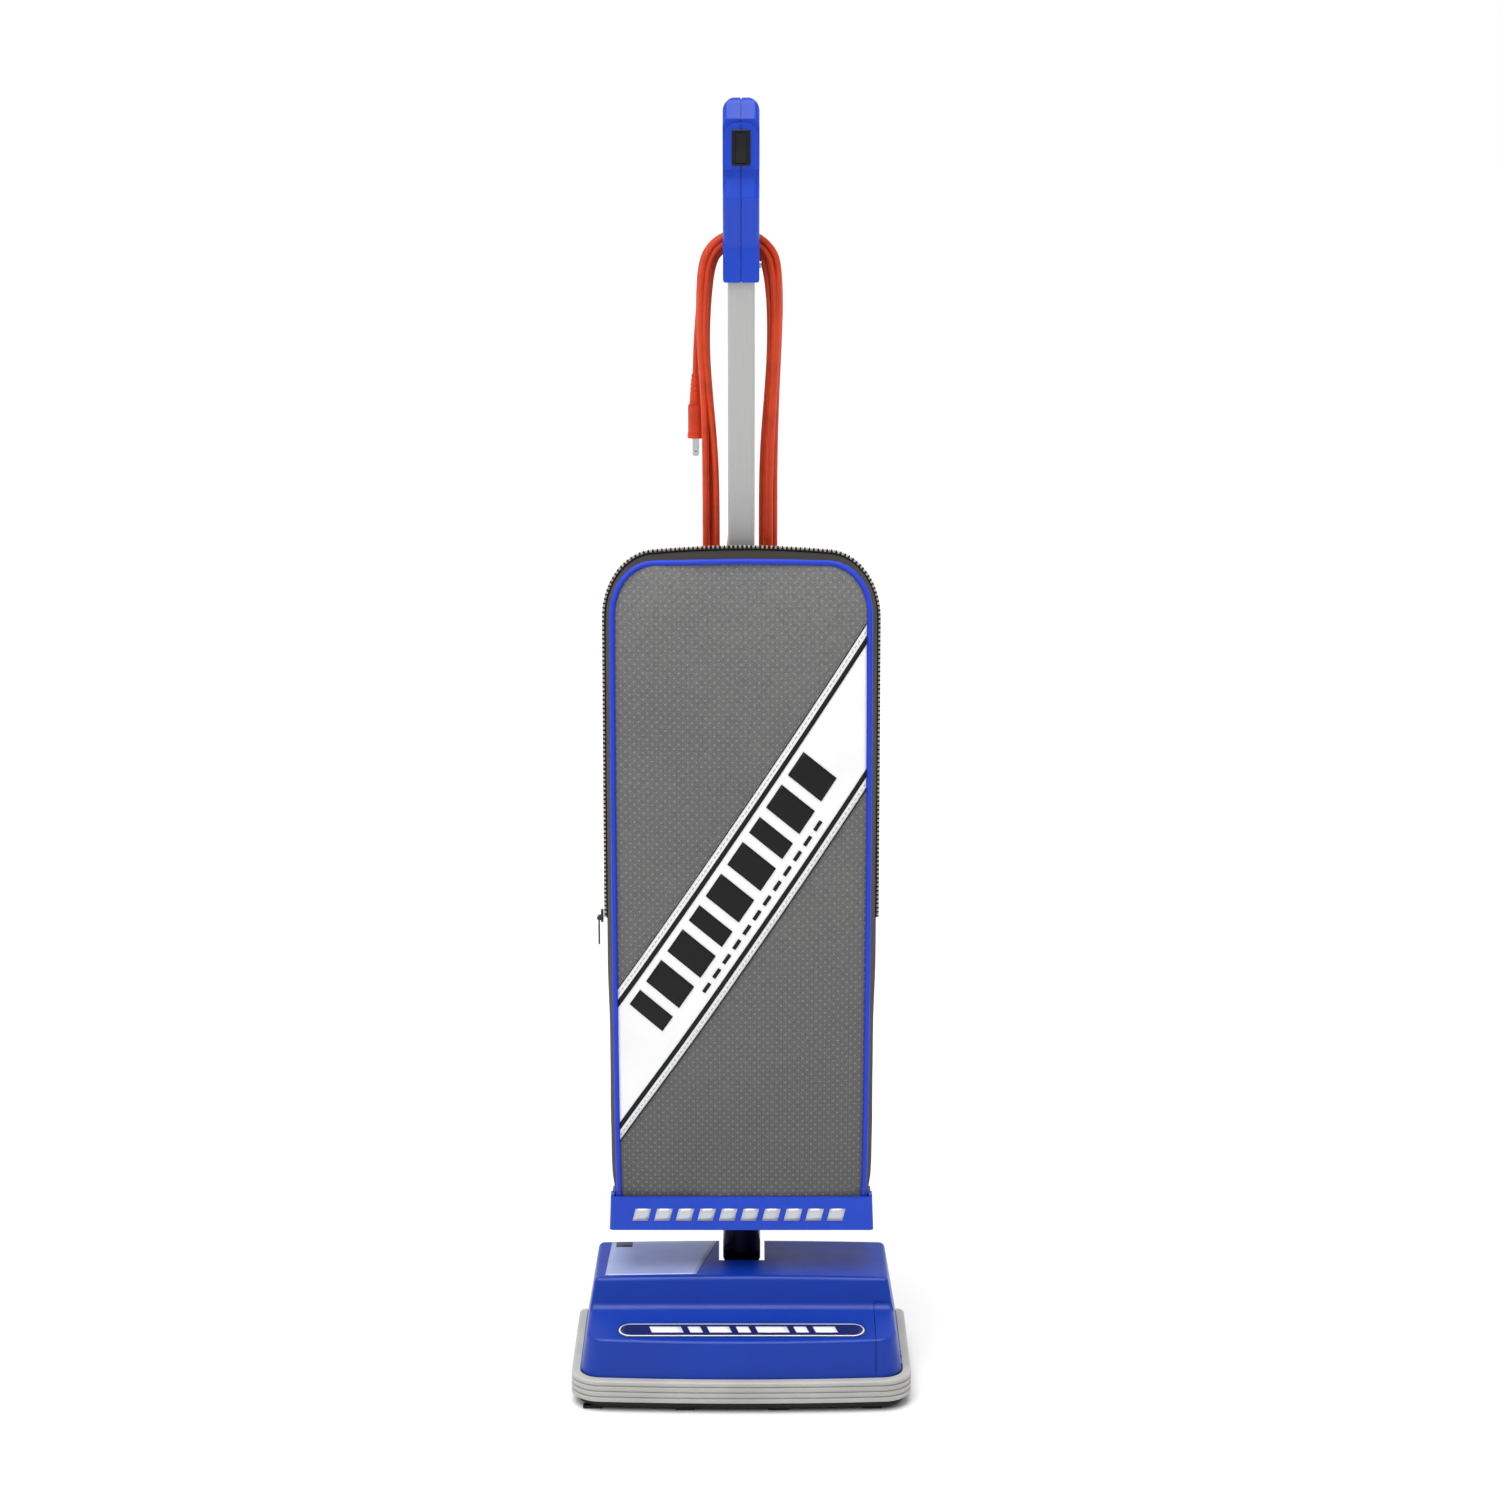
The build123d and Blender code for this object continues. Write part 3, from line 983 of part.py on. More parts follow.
LEAD_ROUTE = [
    (0.0, back(228), 1073.0),
    (0.0, back(228), 1036.0),
    (-1.5, back(226), 990.0),
    (-3.5, back(221), 930.0),
    (-6.5, back(214), 855.0),
    (-12.5, back(208), 775.0),
    (-23.0, back(204.5), 700.0),
]
TAIL_ROUTE = [
    (-30.0, back(208.5), 1077.0),
    (-35.5, back(213.0), 1055.0),
    (-39.2, back(218.5), 1032.0),
    (-41.4, back(223.2), 1008.0),
    (-42.9, back(226.0), 984.0),
    (-43.6, back(226.5), 961.5),
]


def corner_radii(route):
    """The largest tangent arc at each inner point of a cord's route."""
    radii = []
    for a, b, c in zip(route, route[1:], route[2:]):
        inward, outward = Vector(*b) - Vector(*a), Vector(*c) - Vector(*b)
        turn = math.radians(inward.get_angle(outward))
        radii.append(0.45 * min(inward.length, outward.length) / math.tan(turn / 2))
    return radii


def cord_tube(name, route, diameter):
    """A round cord along straight runs joined by tangent arcs."""
    radii = corner_radii(route)
    path = FilletPolyline(*route, radius=radii)
    section = Plane(origin=path @ 0, z_dir=path % 0) * Circle(diameter / 2)
    tube = sweep(section, path=path)
    expected = path.length * math.pi * diameter**2 / 4
    print(name, "length", round(path.length, 1), "radii", [round(r, 1) for r in radii])
    print(name, "volume", round(tube.volume, 1), "of", round(expected, 1))
    return tube


def ring_outline(top, bulge, run):
    """One boundary of the wound cord: an upper arc, sides that swell and then draw in, a lower arc."""
    right = [(top, HANK_TOP_Z), (bulge, HANK_BULGE_Z), (run, HANK_WAIST_Z), (run, HANK_BOTTOM_Z)]
    left = [(-x, z) for x, z in reversed(right)]
    edges = [
        ThreePointArc(left[-1], (0, HANK_TOP_Z + top), right[0]),
        Polyline(*right),
        ThreePointArc(right[-1], (0, HANK_BOTTOM_Z - run), left[0]),
        Polyline(*left),
    ]
    return make_face(edges)


def cord_hank():
    """The outer shape of the cord wound round the two hooks."""
    ring = ring_outline(HANK_OUTER_TOP, HANK_OUTER_BULGE, HANK_OUTER_RUN)
    ring -= ring_outline(HANK_INNER_TOP, HANK_INNER_BULGE, HANK_INNER_RUN)
    return Pos(0, HANK_REAR_Y, 0) * extrude(Plane.XZ * ring, amount=HANK_REAR_Y - HANK_FRONT_Y)


PLUG_X, PLUG_Y, PLUG_TOP = TAIL_ROUTE[-1]


def plug_body():
    """The moulded plug, blades down: a tapered relief, a waisted body and a flange."""
    relief = Pos(PLUG_X, PLUG_Y, PLUG_TOP - 15.5) * Cone(6.4, CORD_DIAMETER / 2 + 0.7, 31)
    shoulder = Pos(PLUG_X, PLUG_Y, PLUG_TOP - 31 - 12.5) * Box(15, 19, 27)
    shoulder = fillet(shoulder.edges().filter_by(Axis.Z), 6)
    flange = Pos(PLUG_X, PLUG_Y, PLUG_TOP - 59) * Box(16, 24, 4)
    flange = fillet(flange.edges().filter_by(Axis.Z), 6.5)
    return relief + shoulder + flange


def plug_blades():
    """Two flat blades, side by side across the machine's depth."""
    blades = []
    for dy in (-6.35, 6.35):
        blade = Pos(PLUG_X, PLUG_Y + dy, PLUG_TOP - 61 - 8.5) * Box(6.3, 1.5, 17)
        blade = chamfer(blade.edges().filter_by(Axis.Y).filter_by_position(Axis.Z, 0, PLUG_TOP - 77), 1.2)
        blades.append(blade - rod_y(PLUG_Y + dy - 2, PLUG_Y + dy + 2, PLUG_X, PLUG_TOP - 73, 1.2))
    return group(blades)


def handle_wire(radius=WIRE_RADIUS):
    """The inner lead from the switch, down the tube and into the neck, ending on the pivot's axis."""
    route = [
        (0, WIRE_Y, SWITCH_Z - 25),
        (0, WIRE_Y, 124),
        (0, back(172), 92),
        (0, PIVOT_Y, PIVOT_Z),
        (-31, PIVOT_Y, PIVOT_Z),
    ]
    path = FilletPolyline(*route, radius=[18, 14, 8])
    section = Plane(origin=path @ 0, z_dir=path % 0) * Circle(radius)
    return sweep(section, path=path)


if __name__ == "__main__":
    os.makedirs("parts", exist_ok=True)
    hood, door = hood_and_door()
    left_grip, right_grip = grip_halves()
    left_latch, right_latch = latches()
    save("hood", hood)
    save("belt_door", door_with_ears(door))
    save("door_hinge_pins", door_pins())
    save("bumper", bumper())
    save("chassis", chassis())
    save("base_plate", base_plate())
    save("guard_bars", guard_bars())
    save("glides", glides())
    save("plate_latch_left", left_latch)
    save("plate_latch_right", right_latch)
    save("hood_screws", group([pan_screw(x, y, PLATE_TOP + 0.8, 26) for x, y in HOOD_SCREW_SPOTS]))
    save("brush_roller", brush_roller() - bristles())
    save("brush_bristles", bristles())
    save("roller_bearings", roll_bearings())
    save("edge_brushes", edge_brushes())
    save("drive_belt", belt())
    save("motor_housing", motor_housing())
    save("motor_field", field_core())
    save("motor_armature", armature())
    save("motor_pulley", motor_pulley())
    save("suction_fan", fan())
    save("fan_housing", fan_housing())
    save("shaft_bearing", shaft_bearing())
    save("duct_seal", duct_seal())
    save("motor_capacitor", capacitor())
    save("base_wire", rod_x(-52, -31.05, PIVOT_Y, PIVOT_Z, WIRE_RADIUS))
    for side, name in ((-1, "left"), (1, "right")):
        hub, tyre = wheel(side)
        save("wheel_" + name, hub)
        save("tyre_" + name, tyre)
        save("pivot_bush_" + name, pivot_bush(side))
    save("wheel_axles", axles())
    save("swivel_neck", swivel_neck())
    save("bag_tray", tray())
    save("dust_bag", dust_bag())
    save("fill_tube", fill_tube())
    save("paper_bag", paper_bag())
    save("paper_bag_collar", bag_collar())
    save("zipper", zipper())
    save("zip_slider", zip_slider())
    save("zip_pull", zip_pull())
    save("bag_clip", bag_clip())
    save("handle_tube", handle_tube())
    save("neck_screws", group([socket_screws(), tray_screws(), bracket_screws()]))
    save("hook_bracket", lower_hook_bracket())
    save("cord_hook_lower", lower_hook())
    save("cord_hook_upper", upper_hook())
    save("grip_left", left_grip)
    save("grip_right", right_grip)
    save("grip_screws", grip_screws())
    save("switch_body", switch_bezel())
    save("power_rocker", rocker())
    save("strain_relief", strain_relief())
    hank = cord_hank()
    save("cord_hank", hank)
    save("cord_lead", cord_tube("cord_lead", LEAD_ROUTE, CORD_DIAMETER) - hank)
    save("cord_tail", cord_tube("cord_tail", TAIL_ROUTE, CORD_DIAMETER) - hank)
    save("plug_body", plug_body())
    save("plug_blades", plug_blades())
    save("handle_wire", handle_wire())
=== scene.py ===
"""The looks of a commercial upright vacuum cleaner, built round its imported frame.

Metres throughout, in the frame's own axes: +Z up, -Y the nozzle's front, +X the machine's right as seen
from the front. Depths are given as distances behind the bumper's front edge.
"""

import math
import random

import bmesh
import bpy
from mathutils import Matrix, Vector, noise
from mathutils.bvhtree import BVHTree

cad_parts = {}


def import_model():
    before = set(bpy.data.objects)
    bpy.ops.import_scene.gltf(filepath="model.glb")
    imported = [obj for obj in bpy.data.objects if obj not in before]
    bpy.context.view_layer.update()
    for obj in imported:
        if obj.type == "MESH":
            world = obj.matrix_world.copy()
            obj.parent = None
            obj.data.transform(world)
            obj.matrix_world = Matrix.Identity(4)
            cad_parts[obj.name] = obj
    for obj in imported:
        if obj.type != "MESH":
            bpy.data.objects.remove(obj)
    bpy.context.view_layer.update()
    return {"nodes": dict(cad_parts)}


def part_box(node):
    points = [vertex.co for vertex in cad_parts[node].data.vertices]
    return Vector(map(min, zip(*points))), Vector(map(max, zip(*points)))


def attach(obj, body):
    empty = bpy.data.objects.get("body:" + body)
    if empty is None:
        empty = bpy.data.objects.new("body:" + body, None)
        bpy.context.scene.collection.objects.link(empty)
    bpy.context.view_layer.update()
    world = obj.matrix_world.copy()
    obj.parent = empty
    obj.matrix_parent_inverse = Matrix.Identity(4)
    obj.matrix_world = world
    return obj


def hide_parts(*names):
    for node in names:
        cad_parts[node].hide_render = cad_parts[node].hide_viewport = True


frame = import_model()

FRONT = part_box("bumper")[0][1]
random.seed(7)


def depth(metres):
    """Y of a point that far behind the bumper's front edge."""
    return FRONT + metres


# ---------------------------------------------------------------- camera, light and floor
CAMERA_HEIGHT, CAMERA_DISTANCE, CAMERA_SIDE = 1.2446, 2.8319, 0.0082
CAMERA_PITCH = math.radians(12)
CAMERA_LENS = 76.8


def add_camera():
    """The camera at the photograph's viewing angle."""
    data = bpy.data.cameras.new("camera")
    data.lens = CAMERA_LENS
    data.sensor_width = 36
    cam = bpy.data.objects.new("camera", data)
    cam.location = (CAMERA_SIDE, depth(-CAMERA_DISTANCE), CAMERA_HEIGHT)
    cam.rotation_euler = (math.pi / 2 - CAMERA_PITCH, 0, 0)
    bpy.context.collection.objects.link(cam)
    bpy.context.scene.camera = cam


def area_light(name, place, target, size, power, colour=(1, 1, 1)):
    """A rectangular lamp at a place, aimed at a target."""
    data = bpy.data.lights.new(name, "AREA")
    data.shape = "RECTANGLE"
    data.size, data.size_y = size
    data.energy = power
    data.color = colour
    light = bpy.data.objects.new(name, data)
    light.location = place
    aim = Vector(target) - Vector(place)
    light.rotation_euler = aim.to_track_quat("-Z", "Y").to_euler()
    bpy.context.collection.objects.link(light)


def add_world():
    """White behind the object, and a dimmer grey surround for what the surfaces reflect."""
    world = bpy.data.worlds.new("studio")
    world.use_nodes = True
    tree = world.node_tree
    surround = tree.nodes["Background"]
    surround.inputs["Color"].default_value = (1, 1, 1, 1)
    heading = tree.nodes.new("ShaderNodeTexCoord").outputs["Generated"]
    split = tree.nodes.new("ShaderNodeSeparateXYZ")
    tree.links.new(heading, split.inputs[0])
    rear = tree.nodes.new("ShaderNodeMapRange")  # brighter behind the object than in front
    tree.links.new(split.outputs[1], rear.inputs["Value"])
    for socket, value in (("From Min", -0.5), ("From Max", 0.6), ("To Min", 0.30), ("To Max", 0.75)):
        rear.inputs[socket].default_value = value
    tree.links.new(rear.outputs[0], surround.inputs["Strength"])
    backdrop = tree.nodes.new("ShaderNodeBackground")
    backdrop.inputs["Color"].default_value = (1, 1, 1, 1)
    path = tree.nodes.new("ShaderNodeLightPath")
    mix = tree.nodes.new("ShaderNodeMixShader")
    tree.links.new(path.outputs["Is Camera Ray"], mix.inputs[0])
    tree.links.new(surround.outputs[0], mix.inputs[1])
    tree.links.new(backdrop.outputs[0], mix.inputs[2])
    tree.links.new(mix.outputs[0], tree.nodes["World Output"].inputs["Surface"])
    bpy.context.scene.world = world


def add_studio():
    """A pale floor under a broad, very soft overhead light, with a gentle front key."""
    add_world()
    bpy.context.scene.view_settings.view_transform = "Standard"
    data = bpy.data.lights.new("overhead", "SUN")
    data.energy = 3.0
    data.angle = math.radians(50)
    overhead = bpy.data.objects.new("overhead", data)
    overhead.rotation_euler = (math.radians(18), math.radians(-6), 0)
    bpy.context.collection.objects.link(overhead)
    area_light("key", (-1.2, -2.6, 2.2), (0, 0, 0.6), (1.6, 1.6), 12)
    area_light("edge_left", (-2.2, 0.5, 1.3), (0, 0, 0.6), (0.6, 2.2), 5)
    area_light("edge_right", (2.2, 0.5, 1.3), (0, 0, 0.6), (0.6, 2.2), 5)
    size = 40.0
    floor = mesh_object(
        "floor",
        [(-size, -size, 0), (size, -size, 0), (size, size, 0), (-size, size, 0)],
        [(0, 1, 2, 3)],
    )
    paint = Paint("floor_pale", (0.86, 0.86, 0.86), 0.55)
    paint.bump(paint.noise(40, 3), 0.02, 0.0002)
    floor.data.materials.append(paint.material)


# ---------------------------------------------------------------- helpers: meshes
def mesh_object(name, points, faces, smooth=False):
    """An object from points and faces."""
    mesh = bpy.data.meshes.new(name)
    mesh.from_pydata([tuple(p) for p in points], [], faces)
    mesh.update()
    if smooth:
        for face in mesh.polygons:
            face.use_smooth = True
    obj = bpy.data.objects.new(name, mesh)
    bpy.context.collection.objects.link(obj)
    return obj


def bmesh_object(name, bm, smooth=True):
    """An object from a bmesh, which is used up."""
    mesh = bpy.data.meshes.new(name)
    bmesh.ops.recalc_face_normals(bm, faces=bm.faces)
    bm.to_mesh(mesh)
    bm.free()
    for face in mesh.polygons:
        face.use_smooth = smooth
    obj = bpy.data.objects.new(name, mesh)
    bpy.context.collection.objects.link(obj)
    return obj


def curve_object(name, points, radius):
    """A round cord-like piece through the given points."""
    data = bpy.data.curves.new(name, "CURVE")
    data.dimensions = "3D"
    data.bevel_depth = radius
    data.bevel_resolution = 3
    data.use_fill_caps = True
    spline = data.splines.new("POLY")
    spline.points.add(len(points) - 1)
    for point, place in zip(spline.points, points):
        point.co = (*place, 1)
    spline.use_smooth = True
    obj = bpy.data.objects.new(name, data)
    bpy.context.collection.objects.link(obj)
    return obj


def sheet_object(name, lines, thickness, offset):
    """A thin smooth sheet over equal lines of points, thickened outwards (offset 1) or both ways (0)."""
    points = [point for line in lines for point in line]
    width = len(lines[0])
    faces = []
    for j in range(len(lines) - 1):
        for i in range(width - 1):
            a = j * width + i
            faces.append((a, a + 1, a + 1 + width, a + width))
    sheet = mesh_object(name, points, faces, smooth=True)
    thick = sheet.modifiers.new("thickness", "SOLIDIFY")
    thick.thickness, thick.offset = thickness, offset
    return sheet


def bevelled(obj, width):
    """Rounds a piece's edges with two segments, and returns the modifier."""
    bevel = obj.modifiers.new("bevel", "BEVEL")
    bevel.width, bevel.segments = width, 2
    return bevel


def finish_piece(obj, paint, body):
    """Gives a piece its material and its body."""
    obj.data.materials.clear()
    obj.data.materials.append(paint.material)
    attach(obj, body)


# ---------------------------------------------------------------- helpers: materials
def srgb(code):
    """A linear colour from a hex code."""
    parts = [int(code[i : i + 2], 16) / 255 for i in (0, 2, 4)]
    return tuple(c / 12.92 if c <= 0.04045 else ((c + 0.055) / 1.055) ** 2.4 for c in parts)


class Paint:
    """A node material, with short ways to add noise, patterns, colour changes and bumps."""

    def __init__(self, name, colour, roughness, metallic=0.0, **sockets):
        """A linear colour, a roughness, and any other sockets of the shader by name."""
        self.material = bpy.data.materials.new(name)
        self.material.use_nodes = True
        self.tree = self.material.node_tree
        self.shader = self.tree.nodes["Principled BSDF"]
        self.colour = colour
        self.shader.inputs["Base Color"].default_value = (*colour, 1)
        self.shader.inputs["Roughness"].default_value = roughness
        self.shader.inputs["Metallic"].default_value = metallic
        for key, value in sockets.items():
            self.shader.inputs[key.replace("_", " ")].default_value = value
        self.last_normal = None
        self.place = self.tree.nodes.new("ShaderNodeTexCoord").outputs["Object"]

    def node(self, kind, inputs=(), **settings):
        """A node with its settings, and its inputs linked or set in order."""
        made = self.tree.nodes.new(kind)
        for key, value in settings.items():
            setattr(made, key, value)
        for index, value in enumerate(inputs):
            if isinstance(value, bpy.types.NodeSocket):
                self.tree.links.new(value, made.inputs[index])
            else:
                made.inputs[index].default_value = value
        return made

    def math(self, operation, a, b=0.0):
        """A sum, product or other operation on one or two values."""
        return self.node("ShaderNodeMath", (a, b), operation=operation).outputs[0]

    def scaled(self, x, y, z):
        """Object coordinates scaled separately along each axis."""
        made = self.node("ShaderNodeMapping", (self.place,))
        made.inputs["Scale"].default_value = (x, y, z)
        return made.outputs[0]

    def split(self):
        """The object coordinates as three values."""
        made = self.node("ShaderNodeSeparateXYZ", (self.place,))
        return made.outputs[0], made.outputs[1], made.outputs[2]

    def noise(self, scale, detail=2.0, vector=None):
        """Soft noise from 0 to 1, over the object coordinates or a vector of its own."""
        made = self.node("ShaderNodeTexNoise")
        self.tree.links.new(vector or self.place, made.inputs["Vector"])
        made.inputs["Scale"].default_value = scale
        made.inputs["Detail"].default_value = detail
        return made.outputs["Fac"]

    def wave(self, scale, direction):
        """Even bands from 0 to 1 along an axis."""
        made = self.node("ShaderNodeTexWave", bands_direction=direction)
        self.tree.links.new(self.place, made.inputs["Vector"])
        made.inputs["Scale"].default_value = scale
        return made.outputs["Fac"]

    def remap(self, value, low, high, to_low, to_high):
        """A value carried from one range to another, and held at its ends."""
        return self.node("ShaderNodeMapRange", (value, low, high, to_low, to_high)).outputs[0]

    def mix(self, factor, a, b):
        """A blend of two colours."""
        made = self.node("ShaderNodeMix", data_type="RGBA")
        for socket, value in ((made.inputs[0], factor), (made.inputs[6], a), (made.inputs[7], b)):
            if isinstance(value, bpy.types.NodeSocket):
                self.tree.links.new(value, socket)
            elif isinstance(value, tuple):
                socket.default_value = (*value, 1)
            else:
                socket.default_value = value
        return made.outputs[2]

    def set_colour(self, output):
        """Makes an output the material's colour."""
        self.tree.links.new(output, self.shader.inputs["Base Color"])
        self.current = output

    def tint(self, factor, colour):
        """Mixes another colour in where the factor is high."""
        below = getattr(self, "current", self.colour)
        self.set_colour(self.mix(factor, below, colour))

    def rough(self, factor, low, high):
        """Lets the roughness vary between two values."""
        self.tree.links.new(self.remap(factor, 0, 1, low, high), self.shader.inputs["Roughness"])

    def bump(self, height, strength, distance):
        """Adds relief on top of any relief already there."""
        made = self.node("ShaderNodeBump")
        made.inputs["Strength"].default_value = strength
        made.inputs["Distance"].default_value = distance
        self.tree.links.new(height, made.inputs["Height"])
        if self.last_normal:
            self.tree.links.new(self.last_normal, made.inputs["Normal"])
        self.last_normal = made.outputs[0]
        self.tree.links.new(self.last_normal, self.shader.inputs["Normal"])


def moulded(name, code, roughness, grain, grain_depth, fade=0.12, **sockets):
    """Moulded plastic: an even colour with faint clouding, fine grain and handling marks."""
    colour = srgb(code)
    paint = Paint(name, colour, roughness, **sockets)
    darker = tuple(c * (1 - fade) for c in colour)
    paint.tint(paint.remap(paint.noise(14, 3), 0.35, 0.7, 0, 1), darker)
    paint.rough(paint.noise(55, 4), max(0.05, roughness - 0.07), min(1, roughness + 0.09))
    paint.bump(paint.noise(grain, 2), 0.25, grain_depth)
    return paint


def metal(name, code, roughness, along="Z", scratch=0.12, metallic=1.0):
    """Drawn or brushed metal: fine streaks along one axis."""
    paint = Paint(name, srgb(code), roughness, metallic)
    fine, coarse = 2400, 30
    scale = {"X": (coarse, fine, fine), "Y": (fine, coarse, fine), "Z": (fine, fine, coarse)}[along]
    streaks = paint.noise(1.0, 3, paint.scaled(*scale))
    paint.tint(paint.remap(streaks, 0.3, 0.75, 0, 0.5), tuple(c * 0.8 for c in srgb(code)))
    paint.rough(streaks, max(0.05, roughness - scratch), roughness + scratch)
    paint.bump(streaks, 0.2, 0.00004)
    return paint


def rubbery(name, code, roughness=0.6):
    """Matt rubber or vinyl: soft clouding, uneven gloss and a fine grain."""
    paint = Paint(name, srgb(code), roughness)
    paint.tint(paint.remap(paint.noise(25, 4), 0.4, 0.75, 0, 0.6), tuple(c * 0.78 for c in srgb(code)))
    paint.rough(paint.noise(160, 3), roughness - 0.1, roughness + 0.15)
    paint.bump(paint.noise(1500, 2), 0.2, 0.00006)
    return paint


BLUE, BRIGHT_BLUE = "06349c", "1141c0"


def blue_plastic(name, code, roughness=0.36):
    """The moulded blue of the casings."""
    return moulded(name, code, roughness, 1100, 0.00005, 0.1, Specular_IOR_Level=0.32)


def vinyl_cord():
    """The cord's orange vinyl jacket."""
    paint = Paint("cord_vinyl", srgb("cf3d12"), 0.42, Specular_IOR_Level=0.35)
    paint.tint(paint.remap(paint.noise(60, 3), 0.45, 0.8, 0, 0.7), srgb("a52f0b"))
    paint.rough(paint.noise(300, 3), 0.3, 0.5)
    paint.bump(paint.noise(900, 2), 0.15, 0.00005)
    return paint


def bristle_nylon():
    """Black nylon bristles, with fine upright streaks."""
    paint = Paint("bristle_nylon", srgb("1c1c1e"), 0.5)
    streaks = paint.noise(1.0, 2, paint.scaled(2600, 2600, 300))
    paint.tint(paint.remap(streaks, 0.4, 0.7, 0, 1), srgb("3a3a3e"))
    paint.bump(streaks, 0.6, 0.0003)
    return paint


def varnished_wood():
    """The brush roll's varnished wood, with its grain along X."""
    paint = Paint("roller_wood", srgb("7a5230"), 0.3, Coat_Weight=0.4)
    rings = paint.noise(1.0, 4, paint.scaled(18, 420, 420))
    paint.tint(paint.remap(rings, 0.35, 0.65, 0, 1), srgb("5a3a20"))
    paint.bump(rings, 0.1, 0.0001)
    return paint


def filter_paper():
    """The paper bag's fibrous paper."""
    paint = Paint("filter_paper", srgb("d9c9a4"), 0.85)
    fibres = paint.noise(900, 4)
    paint.tint(paint.remap(fibres, 0.4, 0.65, 0, 0.7), srgb("c4b189"))
    paint.bump(fibres, 0.35, 0.0002)
    return paint


# ---------------------------------------------------------------- bag fabrics
DOT_PITCH, DOT_ROW, DOT_RADIUS = 0.0083, 0.0041, 0.00085
BAG_GREY, BAG_DOT = "6e6d6b", "a3a19d"


def off_lattice(paint, value, pitch, shift):
    """Distance along one axis to the nearest line of a lattice, in metres, with a sign."""
    phase = paint.math("FRACT", paint.math("ADD", paint.math("DIVIDE", value, pitch), shift))
    return paint.math("MULTIPLY", paint.math("SUBTRACT", phase, 0.5), pitch)


def lattice(paint, x, z, shift):
    """Distance to the nearest point of a rectangular lattice, in metres."""
    across = off_lattice(paint, x, DOT_PITCH, shift)
    up = off_lattice(paint, z, DOT_ROW * 2, shift)
    return paint.math("SQRT", paint.math("ADD", paint.math("POWER", across, 2), paint.math("POWER", up, 2)))


def dotted_cloth():
    """The bag's front cloth: a close weave with staggered light dots, and painted shade that darkens it from
    its upper part towards the bottom.
    """
    paint = Paint("bag_front_cloth", srgb(BAG_GREY), 0.86, Sheen_Weight=0.25, Sheen_Roughness=0.6)
    x, _, z = paint.split()
    weave = woven(paint, 2600)
    # painted shade: the cloth is darker towards the bottom, where the lower panel faces downwards, away from
    # the light above
    paint.tint(paint.remap(z, 0.18, 0.78, 0.8, 0.0), srgb("4a4947"))
    paint.tint(paint.remap(paint.noise(9, 4), 0.35, 0.7, 0, 0.4), srgb("4b4b4d"))
    paint.tint(paint.remap(paint.noise(380, 3), 0.35, 0.65, 0, 0.5), srgb("3b3b3d"))
    paint.tint(paint.remap(weave, 0.1, 0.8, 0, 0.35), srgb("6e6e70"))
    nearest = paint.math("MINIMUM", lattice(paint, x, z, 0.0), lattice(paint, x, z, 0.5))
    ragged = paint.math("ADD", nearest, paint.math("MULTIPLY", paint.noise(900, 2), 0.0006))
    dots = paint.remap(ragged, DOT_RADIUS * 0.9, DOT_RADIUS * 1.8, 1, 0)
    paint.tint(paint.math("MULTIPLY", dots, 0.38), srgb(BAG_DOT))
    paint.bump(weave, 0.35, 0.00025)
    paint.bump(dots, 0.3, 0.0002)
    return paint


def woven(paint, scale):
    """A plain weave from two crossing waves."""
    over = paint.wave(scale / 20, "X")
    under = paint.wave(scale / 20, "Z")
    crossed = paint.math("MULTIPLY", over, under)
    return paint.math("ADD", crossed, paint.math("MULTIPLY", paint.noise(scale, 2), 0.3))


def plain_cloth(name, code, scale=2200):
    """Plain woven cloth: a weave with mottling."""
    paint = Paint(name, srgb(code), 0.9, Specular_IOR_Level=0.25, Sheen_Weight=0.04, Sheen_Roughness=0.6)
    weave = woven(paint, scale)
    paint.tint(paint.remap(paint.noise(12, 4), 0.35, 0.7, 0, 0.6), tuple(c * 0.82 for c in srgb(code)))
    paint.tint(paint.remap(weave, 0.1, 0.8, 0, 0.3), tuple(min(1, c * 1.35) for c in srgb(code)))
    paint.bump(weave, 0.4, 0.0003)
    return paint


# ---------------------------------------------------------------- bag shape
BAG_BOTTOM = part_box("dust_bag")[0][2]
# half-widths of the bag's three outlines by height
PIPE_SIDE = [(0.15, 0.1150), (0.183, 0.1165), (0.25, 0.1176), (0.50, 0.1182), (0.75, 0.1187)]
PIPE_TOP, PIPE_CORNER = 0.7970, (0.038, 0.044)
ZIP_SIDE = [
    (0.15, 0.1215), (0.172, 0.1238), (0.190, 0.1262), (0.22, 0.1270),
    (0.30, 0.1275), (0.345, 0.1278), (0.40, 0.1292), (0.75, 0.1288),
]
ZIP_TOP, ZIP_CORNER = 0.8045, (0.049, 0.062)
BACK_SIDE = [(0.15, 0.1190), (0.172, 0.1212), (0.190, 0.1225), (0.35, 0.1240), (0.75, 0.1262)]
BACK_TOP, BACK_CORNER = 0.8010, (0.048, 0.060)
ZIP_LOW = 0.446  # height of the zip's two ends
BACK_DEPTH = 0.1635  # depth of the bag's back
SHOULDER = 0.70  # above this height, outwards also means upwards
ROWS, COLUMNS, CORNER_ROWS = 120, 56, 14
# depth of the front panel's middle by height
FRONT_LINE = [
    (0.155, 0.0985), (0.19, 0.0965), (0.33, 0.0725), (0.48, 0.0675),
    (0.63, 0.0735), (0.75, 0.0935), (0.81, 0.114),
]


